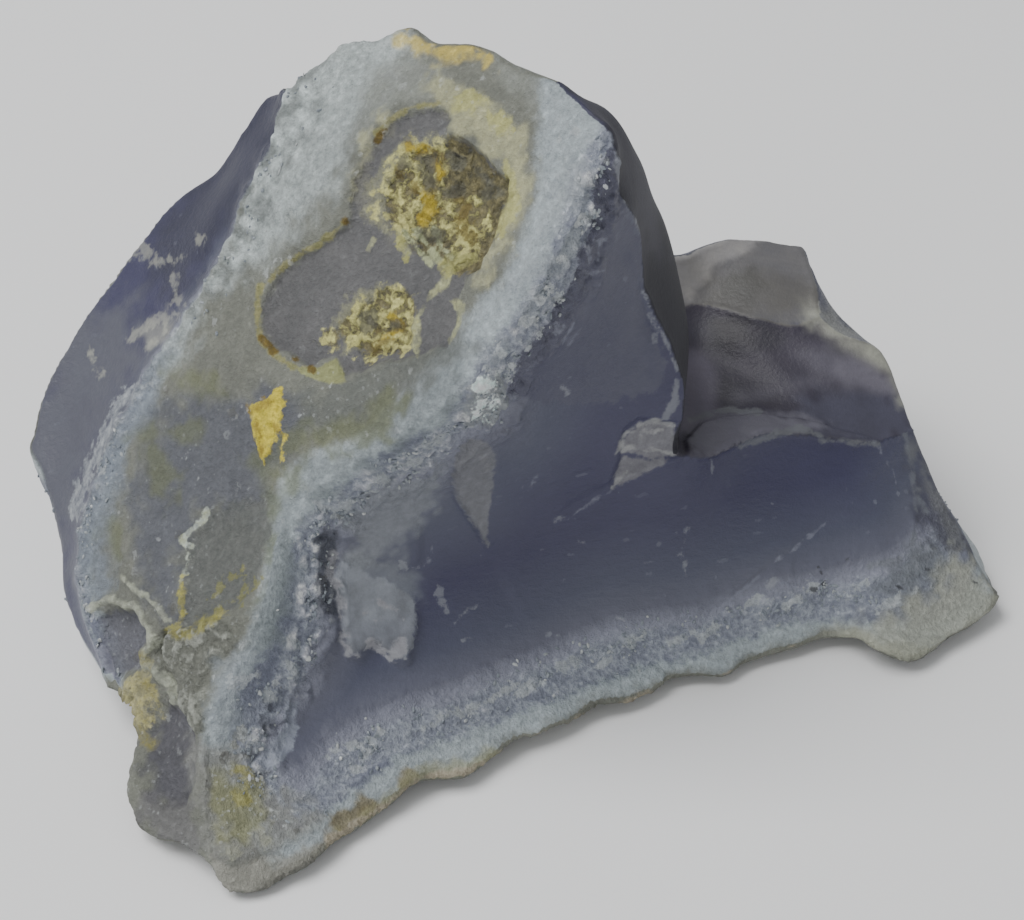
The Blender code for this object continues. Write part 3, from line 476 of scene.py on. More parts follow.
def face_mesh(name, loop, outward, guides, spacing):
    """Places and triangles of one face: a sheet bent to its loop and guides, finest where busiest."""
    area = np.cross(loop, np.roll(loop, -1, axis=0)).sum(axis=0)
    normal = area / np.linalg.norm(area)
    if normal @ np.array(outward) < 0:
        loop, normal = loop[::-1], -normal
    side = np.cross(normal, (0.3, 0.5, 0.8))
    side /= np.linalg.norm(side)
    over = np.cross(normal, side)
    middle = loop.mean(axis=0)
    basis = np.array([side, over, normal])
    local = (loop - middle) @ basis.T
    gaps = np.linalg.norm(local - np.roll(local, 1, axis=0), axis=1)
    known = local[np.unique(np.searchsorted(np.cumsum(gaps), np.arange(0, gaps.sum(), 1.0)))]
    if len(guides):
        known = np.vstack([known, (np.array(guides) - middle) @ basis.T])

    low, high = local[:, :2].min(axis=0), local[:, :2].max(axis=0)
    row = spacing * math.sqrt(3) / 2
    rows = np.arange(1, math.ceil((high[1] - low[1]) / row))
    columns = np.arange(math.ceil((high[0] - low[0]) / spacing))
    i, c = (part.ravel() for part in np.meshgrid(rows, columns, indexing="ij"))
    grid = np.stack([low[0] + c * spacing + (i % 2) * spacing / 2, low[1] + i * row], axis=1)
    kept = inside(local[:, :2], grid)
    grid, i, c = grid[kept], i[kept], c[kept]
    flat_loop = [(x, y, 0) for x, y in local[:, :2]]
    near, which = nearest_of([(x, y, 0) for x, y in grid], flat_loop)
    heights = plate(known[:, :2], known[:, 2], grid)
    sheet = np.hstack([grid, heights[:, None]])
    fine = near < 3 * gaps[which]
    if name in SHOWN_FACES:
        fine |= busy(name, sheet @ basis + middle)
    sparse = (i % 2 == 0) & ((c - (i // 2) % 2) % 2 == 0)
    kept = (near > 0.6 * np.minimum(gaps[which], spacing)) & (sparse | fine)
    sheet = sheet[kept]

    flat = [Vector(p) for p in np.vstack([local[:, :2], sheet[:, :2]])]
    out, _, triangles, origins, _, _ = delaunay_2d_cdt(flat, [], [list(range(len(local)))], 1, 1e-7, True)
    if len(out) != len(flat):
        raise ValueError(f"the outline of {name} crosses itself")
    index = np.array([origin[0] for origin in origins])
    triangles = index[np.array([list(t) for t in triangles])]
    return np.vstack([local, sheet]) @ basis + middle, inner(triangles, len(local))


places, triangles, faces = [], [], {}
count = 0
for name, (names, outward, guides) in FACES.items():
    spacing = FINE if name in SHOWN_FACES else HIDDEN_FINE
    found, corners = face_mesh(name, loop_of(names, lines), outward, placed(guides), spacing)
    places.append(found)
    triangles.append(corners + count)
    faces[name] = np.arange(count, count + len(found))
    count += len(found)
places = np.concatenate(places)
_, first, index = np.unique(np.round(places, 4), axis=0, return_index=True, return_inverse=True)
index = index.reshape(-1)
places, triangles = places[first], index[np.concatenate(triangles)]
# Which places lie on each face; those of an arris lie on two
on = {}
for name, members in faces.items():
    on[name] = np.zeros(len(places), bool)
    on[name][index[members]] = True

# The wear of the arrises. Frost, handling and knocks have rounded them, most along the weathered rim and the
# foot and least on the fresh breaks. Each value is the spread of the wear in mm.
EDGE_WEAR = {
    "rim": 1.3, "top": 0.9, "top_right": 0.4, "left_rim": 0.5, "left_outer": 0.5, "left_end": 0.7,
    "left_low": 1.0, "bottom": 0.9, "end": 0.5, "end_under": 1.0, "left_under": 0.8, "left_rear": 0.9,
    "rear": 0.9, "back": 0.8, "ground_right": 1.0, "ground_back": 1.0, "ground_rear": 1.0,
    "ground_left_rear": 1.0, "ground_left": 1.0, "shelf_back": 0.4, "shelf_side": 0.4, "shelf_end": 0.4,
    "foot": 0.5, "foot_rear": 0.5,
}
FRESH_WEAR = 0.2
# The stone swells by this share of what is worn away, so that its outline stays where it was measured
KEPT_OUTLINE = 0.45
# The roughness of the hidden breaks dies out this near to a shown arris
HIDDEN_FADE = 4.0


def near_line(places, line, reach):
    """Distance in mm from each place to a line, but never more than `reach`."""
    found = np.full(len(places), float(reach))
    close = np.all((places > line.min(axis=0) - reach) & (places < line.max(axis=0) + reach), axis=1)
    if close.any():
        found[close] = np.minimum(nearest_of(places[close], line)[0], reach)
    return found


def worn(places, triangles, lines):
    """The surface with its arrises worn round, what each place lost, and how far it is from an arris."""
    wear = np.zeros(len(places))
    lost = np.zeros(len(places))
    clear = np.full(len(places), HIDDEN_FADE)
    for name, line in lines.items():
        depth = EDGE_WEAR.get(name, FRESH_WEAR)
        away = near_line(places, line, max(5 * depth, HIDDEN_FADE))
        wear = np.maximum(wear, depth * np.clip(2.5 - away / (2 * depth), 0, 1))
        lost = np.maximum(lost, depth * np.exp(-(away / (1.6 * depth)) ** 2))
        if name not in HIDDEN_EDGES:
            clear = np.minimum(clear, away)
    most = wear.max()
    rounds = math.ceil(4 * most**2 / FINE**2)
    share = 0.5 * (wear / most) ** 2
    ends = np.concatenate([triangles, triangles[:, ::-1]])
    first, second = ends[:, [0, 1, 2]].ravel(), ends[:, [1, 2, 0]].ravel()
    length = np.maximum(np.linalg.norm(places[first] - places[second], axis=1), FINE / 2)
    around = np.bincount(first, length, len(places))
    weight = 1 / length
    total = np.bincount(first, weight, len(places))
    step = np.minimum(share * FINE**2 / around, 0.6 / total)
    for _ in range(rounds):
        for axis in range(3):
            pull = np.bincount(first, weight * places[second, axis], len(places)) - total * places[:, axis]
            places[:, axis] += step * pull
    return places, lost, clear


places, lost, clear = worn(places, triangles, lines)

# The swell and the roughness of the faces, in mm. The wall rolls gently as the vein's side does, the fresh
# breaks are nearly flat, the hidden ones are shells with sharp ribs between them, and the base is lumpy.
WALL_ROLL = {"rise": 0.45, "length": 14.0, "octaves": 4}
BREAK_ROLL = {"rise": 0.18, "length": 16.0, "octaves": 3}
SHELL_BREAKS = {"rise": 0.8, "depth": 2.4, "length": 21.0}
HIDDEN_ROUGH = {"rise": 0.25, "length": 5.0}
UNDER_ROLL = {"rise": 0.8, "length": 9.0}
UNDER_LUMPS = {"rise": 0.25, "size": 4.5}


def lumps(places, size, seed):
    """Rounded lumps about `size` mm across, from 0 between them to 1 on their tops."""
    shift = Vector((seed * 3.7, seed * 9.1, seed * 5.3))
    near = np.array([noise.voronoi(Vector(p) / size + shift)[0][0] for p in places])
    return 1 - np.clip(near / 0.75, 0, 1) ** 2


def rolls(places, on, clear):
    """The slow swells and the roughness of each kind of face, in mm."""
    wall = WALL_ROLL["rise"] * fractal(places, WALL_ROLL["length"], WALL_ROLL["octaves"], 1)
    fresh = BREAK_ROLL["rise"] * fractal(places, BREAK_ROLL["length"], BREAK_ROLL["octaves"], 2)
    ribs = np.abs(fractal(places, SHELL_BREAKS["length"], 2, 3))
    shells = SHELL_BREAKS["rise"] - SHELL_BREAKS["depth"] * ribs
    shells += HIDDEN_ROUGH["rise"] * fractal(places, HIDDEN_ROUGH["length"], 3, 13)
    under = UNDER_ROLL["rise"] * fractal(places, UNDER_ROLL["length"], 2, 4)
    under += UNDER_LUMPS["rise"] * lumps(places, UNDER_LUMPS["size"], 5)
    return (
        wall * on["vein_wall"]
        + fresh * (on["front_scoop"] | on["left_facet"] | on["crescent"])
        + shells * broken * np.clip(clear / HIDDEN_FADE, 0, 1)
        + under * on["underside"]
    )


broken = on["tower_rear"] | on["shelf_rear"] | on["left_rear_face"] | on["right_end"] | on["left_low_face"]

# The sugary quartz: blocks and rounded lumps a millimetre or two across along both rims of the wall and along
# the foot, where the break went between the grains, and a druse of small studs on the upper left rim. Values
# are mm; `foot` is how far down the picture each reaches, and `fade` over how many pixels it ends.
RIM_LUMPS = {"rise": 0.4, "size": 2.1}
FOOT_LUMPS = {"rise": 0.16, "size": 1.9}
LEFT_LUMPS = {"rise": 0.5, "size": 1.6, "half": 1.6, "foot": 620, "fade": 60}
DRUSE = {"rise": 0.3, "size": 1.3, "half": 4.0, "foot": 360, "fade": 80}
WALL_GRAIN = {"rise": 0.16, "length": 1.1}
# Sizes of the blocks, each with its share of the height
QUARTZ_BLOCKS = [(1.5, 0.6), (0.75, 0.4)]
QUARTZ_BLOCK_RISE = 0.6
QUARTZ_BLOCK_BEND = 0.25
# Quartz of the foot is duller: its blocks count for this much, above this least value
FOOT_BLOCK_LEAST, FOOT_BLOCK_SHARE = 0.18, 0.42


def blocks(places, where, sizes, bend):
    """How high broken lumps stand, from 0 in the gaps to 1 on top, each size with its share of the height."""
    height = np.zeros(len(places))
    chosen = np.flatnonzero(where)
    waver = np.stack([fractal(places[chosen], 1.2, 3, seed) for seed in (51, 52, 53)], axis=1)
    bent = places[chosen] + bend * waver
    for seed, (size, share) in enumerate(sizes):
        shift = Vector((seed * 2.3, seed * 4.9, seed * 7.7))
        for number, place in zip(chosen, bent):
            away, cells = noise.voronoi(Vector(place) / size + shift)
            edge = min(1.0, (away[1] - away[0]) / 0.3)
            tall = min(1.0, max(0.0, 0.55 + noise.noise(cells[0] * 3.7)))
            height[number] += share * (0.3 + 0.7 * edge) * tall
    return np.clip(1.3 * height, 0, 1)


def step_up(value, width):
    """Rises smoothly from 0 to 1 over a width centred on nothing, as steep as the mesh can show."""
    t = np.clip(value / max(width, 1.3 * FINE) + 0.5, 0, 1)
    return t * t * (3 - 2 * t)


def belt(picture, line, half):
    """1 along a line, fading to 0 beyond half its width in mm."""
    return 1 - step_up(from_line(picture, line) - half, half)


def along_left_rim(places, picture, kind, limit):
    """1 on the left rim, fading over the kind's half width and towards the foot of the picture."""
    near = np.exp(-(near_line(places, np.array(edges["left_rim"]), limit) / kind["half"]) ** 2)
    return near * np.clip((kind["foot"] - picture[:, 1]) / kind["fade"], 0, 1)


def quartz_lumps(places, picture, on):
    """Lumps of quartz in mm along the rims and the foot, how high the blocks stand, and the studs."""
    near_rim = belt(picture, RIM_BELT, RIM_BELT_HALF) * (on["front_scoop"] | on["vein_wall"])
    near_foot = belt(picture, FOOT_BELT, FOOT_BELT_HALF) * on["front_scoop"]
    near_left = along_left_rim(places, picture, LEFT_LUMPS, 6.0) * (on["vein_wall"] | on["left_facet"])
    druse = along_left_rim(places, picture, DRUSE, 12.0) * on["vein_wall"]
    studs = lumps(places, DRUSE["size"], 12)
    block = blocks(places, near_rim + near_left + near_foot > 0, QUARTZ_BLOCKS, QUARTZ_BLOCK_BEND)
    lift = (
        RIM_LUMPS["rise"] * lumps(places, RIM_LUMPS["size"], 9) * near_rim
        + FOOT_LUMPS["rise"] * lumps(places, FOOT_LUMPS["size"], 10) * near_foot
        + LEFT_LUMPS["rise"] * lumps(places, LEFT_LUMPS["size"], 11) * near_left
        + QUARTZ_BLOCK_RISE * (block - 0.5) * (near_rim + 0.6 * near_left + 0.3 * near_foot)
        + DRUSE["rise"] * studs * druse
        + WALL_GRAIN["rise"] * fractal(places, WALL_GRAIN["length"], 3, 22) * on["vein_wall"]
    )
    dull = FOOT_BLOCK_LEAST + FOOT_BLOCK_SHARE * block
    return lift, np.where(near_foot > near_rim, dull, block), (studs - 0.6) * druse


# The marks' relief: floors sink with a crumbly lace of crust on them, flakes and steps stand up and die out
# along the break, and faint ripples spread over the bowl from where the blow struck. Lengths are mm, but
# outlines are frayed by FRAY pixels.
CRUST_NET, CRUST_NET_HALF = 1.15, 0.17
CRUST_PLATE, CRUST_PLATE_LEAST = 0.85, 0.12
FLOOR_ROUGH_LENGTH = 2.4
FRAY, FRAY_LENGTH = 5.0, 2.2
RIPPLE_START = (690, 470)
RIPPLE = {"rise": 0.08, "length": 3.4, "waver": 0.8}
# Whatever lies lower than this is part of the flat that the stone rests on
FLAT_TRUE = 0.06


def lacy(places, where):
    """How far a lace of crust spreads: more than 0 on the crust, less than 0 on the bare floor between."""
    spread = np.full(len(places), -1.0)
    chosen = places[where]
    net = CRUST_NET_HALF - np.abs(fractal(chosen, CRUST_NET, 5, 41))
    plates = fractal(chosen, CRUST_PLATE, 4, 42) - CRUST_PLATE_LEAST
    spread[where] = np.maximum(net, plates)
    return spread


def beside(picture, line):
    """How far in mm each place lies to the right of an open line, from it, and from its ends."""
    away = np.full(len(picture), np.inf)
    side = np.zeros(len(picture))
    for a, b in zip(np.array(line[:-1], float), np.array(line[1:], float)):
        along = np.clip((picture - a) @ (b - a) / ((b - a) @ (b - a)), 0, 1)
        off = picture - a - along[:, None] * (b - a)
        found = np.linalg.norm(off, axis=1)
        closer = found < away
        away = np.where(closer, found, away)
        turned = np.sign((b - a)[0] * (picture - a)[:, 1] - (b - a)[1] * (picture - a)[:, 0])
        side = np.where(closer, turned, side)
    ends = np.minimum(np.linalg.norm(picture - line[0], axis=1), np.linalg.norm(picture - line[-1], axis=1))
    return away * side * MM_PER_PIXEL, away * MM_PER_PIXEL, ends * MM_PER_PIXEL


def relief(places, on, clear):
    """How far in mm each place stands out from the plain faces, and how far it lies inside each mark."""
    picture = picture_of(places)
    fray = np.stack([fractal(places, FRAY_LENGTH, 3, 31), fractal(places, FRAY_LENGTH, 3, 32)], axis=1)
    frayed = picture + FRAY * fray
    crust = lacy(places, on["vein_wall"])
    craggy = 0.5 * fractal(places, FLOOR_ROUGH_LENGTH, 4, 6) + 0.7 * step_up(crust, 0.3) - 0.25
    sugar, block, studded = quartz_lumps(places, picture, on)
    lift = rolls(places, on, clear) + sugar
    reaches = {}
    for name, mark in MARKS.items():
        reach = reach_of(frayed if mark.frayed else picture, mark)
        lift += (mark.rise + mark.rough * craggy) * step_up(reach, mark.edge) * on[mark.face]
        reaches[name] = reach

    away = np.linalg.norm(picture - np.array(RIPPLE_START), axis=1) * MM_PER_PIXEL
    waves = (away + RIPPLE["waver"] * fractal(places, 8.0, 2, 12)) / RIPPLE["length"]
    lift += RIPPLE["rise"] * np.sin(2 * math.pi * waves) * (on["bowl"] & ~on["shelf_top"])
    for step in STEPS.values():
        beyond, away, ends = beside(frayed if step.frayed else picture, step.line)
        dies = np.exp(-np.maximum(beyond, 0) / step.reach) * np.clip(ends / step.reach, 0, 1)
        lift += step.rise * step_up(beyond, step.edge) * dies * on[step.face]
    return lift, reaches, crust, block, studded


def normals_of(places, triangles):
    """The direction outward at each place."""
    a, b, c = (places[triangles[:, k]] for k in range(3))
    flat = np.cross(b - a, c - a)
    found = np.zeros_like(places)
    for axis in range(3):
        for k in range(3):
            found[:, axis] += np.bincount(triangles[:, k], flat[:, axis], len(places))
    return found / np.maximum(np.linalg.norm(found, axis=1), 1e-12)[:, None]


lift, reaches, crust, block, studded = relief(places, on, clear)
places = places + normals_of(places, triangles) * (lift + KEPT_OUTLINE * lost)[:, None]
places[:, 2] = np.where(places[:, 2] < FLAT_TRUE, 0, places[:, 2])
picture = picture_of(places)

# The layers of the vein. It grew inward from its walls: a grey-green skin, a pale blue band, a belt of sugary
# quartz, and the blue-grey chalcedony of the core. Lines and areas are picture coordinates and part one layer
# from the next; what is kept for each place is how far in mm it lies inside each layer.
SKIN_LINE = [(200, 760), (205, 720), (215, 690), (235, 660), (255, 630), (258, 600), (262, 575), (268, 550),
    (272, 520), (280, 480), (300, 460), (330, 445), (370, 435), (395, 400), (420, 375), (450, 345),
    (480, 300), (500, 285), (520, 240), (535, 200), (538, 160), (540, 100), (530, 60)]
LIGHT_LINE = [(228, 770), (230, 730), (238, 690), (256, 664), (272, 640), (280, 610), (286, 580), (290, 550),
    (300, 520), (320, 505), (350, 480), (380, 452), (410, 436), (446, 425), (462, 392), (478, 362),
    (500, 335), (528, 296), (548, 258), (560, 215), (575, 170), (590, 140), (612, 120)]
FOOT_LINE = [(252, 800), (262, 826), (300, 832), (335, 806), (362, 786), (400, 757), (440, 742), (480, 729),
    (520, 711), (560, 700), (600, 684), (640, 666), (700, 656), (740, 640), (780, 626), (830, 620),
    (880, 626), (930, 626), (965, 600), (975, 570), (955, 520)]
BEYOND = [(700, 120), (940, 420)]
CORE_LINE = [(262, 764), (266, 730), (284, 704), (302, 682), (308, 655), (318, 630), (320, 600), (324, 572),
    (328, 552), (318, 528), (352, 520), (364, 492), (400, 478), (438, 462), (462, 428), (492, 412),
    (500, 385), (510, 362), (524, 342), (546, 318), (560, 298), (572, 276), (578, 250), (590, 226),
    (596, 200), (598, 172), (612, 146)]
# The foot of the core follows the belt of the foot, a little below it at both ends
CORE_FOOT = [(x, y + 6 * (x > 650 or x < 400)) for x, y in FOOT_BELT[::-1]]
CORE_AREA = CORE_LINE + [(700, 100), (1000, 250), (1000, 470), (946, 505)] + CORE_FOOT
QUARTZ_AREA = LIGHT_LINE + BEYOND + FOOT_LINE[::-1]
LIGHT_AREA = SKIN_LINE + [(700, 60), (1060, 420), (1060, 700), (700, 900), (300, 900), (256, 840), (236, 800),
                          (216, 770)]
NOSE_AREA = [(206, 740), (240, 720), (262, 764), (300, 800), (330, 800), (280, 850), (220, 860), (206, 820)]
FOOT_SKIN = 0.6
# On the hidden breaks the layers start at these depths in mm below the skin
HIDDEN_DEPTHS = {"light": 0.8, "quartz": 3.4, "core": 6.0}
# The belt along the left rim is this narrow, and starts this far down the picture
LEFT_BELT, LEFT_BELT_TOP = 1.1, 350
# Distances into a layer are kept up to these
REACH, CORE_REACH = 4.0, 9.0

ground = [name for name in EDGES if name.startswith("ground") or name == "end_under"]
from_foot = near_line(places, lines["bottom"], CORE_REACH)
from_wall = near_line(places, np.concatenate([lines[name] for name in ("top", "left_outer")]), CORE_REACH)
from_ground = near_line(places, np.concatenate([lines[name] for name in ground]), CORE_REACH)
past_rim = near_line(places, lines["left_rim"], CORE_REACH)
on_wall = on["vein_wall"] & ~on["front_scoop"] & ~on["left_facet"]
inward = on["crescent"] | on["bowl"] | on["shelf_top"]
left_belt = LEFT_BELT - past_rim - np.maximum(LEFT_BELT_TOP - picture[:, 1], 0) * MM_PER_PIXEL

depths = {"light": into(picture, LIGHT_AREA), "quartz": into(picture, QUARTZ_AREA),
          "core": into(picture, CORE_AREA)}
above_foot = np.minimum(depths["light"], from_foot - FOOT_SKIN)
depths["light"] = np.where(on["front_scoop"], above_foot, depths["light"])
for name, wider in (("light", 0.5), ("quartz", 0.0)):
    depths[name] = np.where(on_wall, np.maximum(depths[name], left_belt + wider), depths[name])
on_facet = {"light": past_rim + 0.6, "quartz": past_rim, "core": 4 * past_rim - 1.2}
for name, found in depths.items():
    found = np.where(on["left_facet"], on_facet[name], found)
    found = np.where(inward, CORE_REACH if name == "core" else REACH, found)
    found = np.where(broken, np.minimum(from_wall, from_ground) - HIDDEN_DEPTHS[name], found)
    depths[name] = np.where(on["underside"], -REACH, found)
light, quartz, core = depths.values()

# Where the surface is weathered and where it is fresh, where white bruises and grains speckle it, where the
# fresh break is scuffed, and where crust grows
fresh = on["front_scoop"] | on["left_facet"] | inward
weathered = np.where(fresh, np.clip(1 - core / 2.5, 0.15, 1), 1.0)
clusters = np.clip(0.55 + 1.4 * fractal(places, 5.0, 3, 34), 0, 1)
scooped = 0.9 * np.clip(quartz / 1.5, 0, 1) * np.clip(1.5 - core, 0, 1)
by_the_foot = from_line(picture, FOOT_BELT) < from_line(picture, RIM_BELT)
scooped *= np.where(by_the_foot, np.clip(3 * fractal(places, 2.0, 3, 35) + 0.1, 0, 1), 1.0)
speckled = clusters * np.where(on_wall, 0.75, np.where(on["front_scoop"], scooped, 0.0))
speckled = np.where(into(picture, NOSE_AREA) > 0, 0.9, speckled)
speckled *= 1 - 0.8 * step_up(reaches["chip scar"], 0.5) * on_wall
scuffed = (on["front_scoop"] | on["left_facet"]) * np.clip(core / 2.0, 0, 1)
scuffed *= np.clip(0.5 + 1.2 * fractal(places, 7.0, 2, 36), 0, 1)
crusty = np.max([reaches[name] for name in ("upper hollow", "lower hollow", "crusted crest")], axis=0)
veins = {
    "matt": on["crescent"].astype(float), "crusted": step_up(crusty, 0.6) * on_wall, "weathered": weathered,
    "speckled": speckled, "scuffed": scuffed, "light": np.clip(light, -REACH, REACH),
    "quartz": np.clip(quartz, -REACH, REACH), "core": np.clip(core, -REACH, CORE_REACH), "crust": crust,
    "block": block,
}

# The stains, crusts, flakes and chips that colour the stone, and painted shade and light. Water brought iron,
# which dried cream to ochre on the wall and in its hollows; bruised chalcedony is paler. Some tints are
# painted shade and painted light instead: on the crescent, the bowl and the shelf's fold, and the shadows in
# the hollow, the undercut, the shaded face, the slot by the flake and by the lower step. Each tint lies over
# those before it.
# What moves a tint from its first colour to its second: slow mottling, sugary grain, or the lace of crust
NOISE_OF = {"mottle": 0.0, "sugar": 1.0, "flaky": 1.5, "crust": 2.0}
# From this fade in mm on, a tint's edge is soft
SOFT = 0.8


def linear(colour):
    """An sRGB hex colour as the linear values that a shader takes."""
    parts = [int(colour[i:i + 2], 16) / 255 for i in (1, 3, 5)]
    return (*(part / 12.92 if part <= 0.04045 else ((part + 0.055) / 1.055) ** 2.4 for part in parts), 1.0)


class Tint(NamedTuple):
    """Colour over some areas of the stone. `fade` and `fray` are mm, `cover` is how much it hides."""
    faces: tuple
    colours: tuple
    fade: float
    fray: float
    cover: float
    patches: list
    by: str = "mottle"


WALL = ("vein_wall",)
SCOOP = ("front_scoop",)
TOWER = ("vein_wall", "front_scoop")
LEFT = ("left_facet",)
CRESCENT = ("crescent",)
BOWL = ("bowl",)
SHELF = ("shelf_top",)
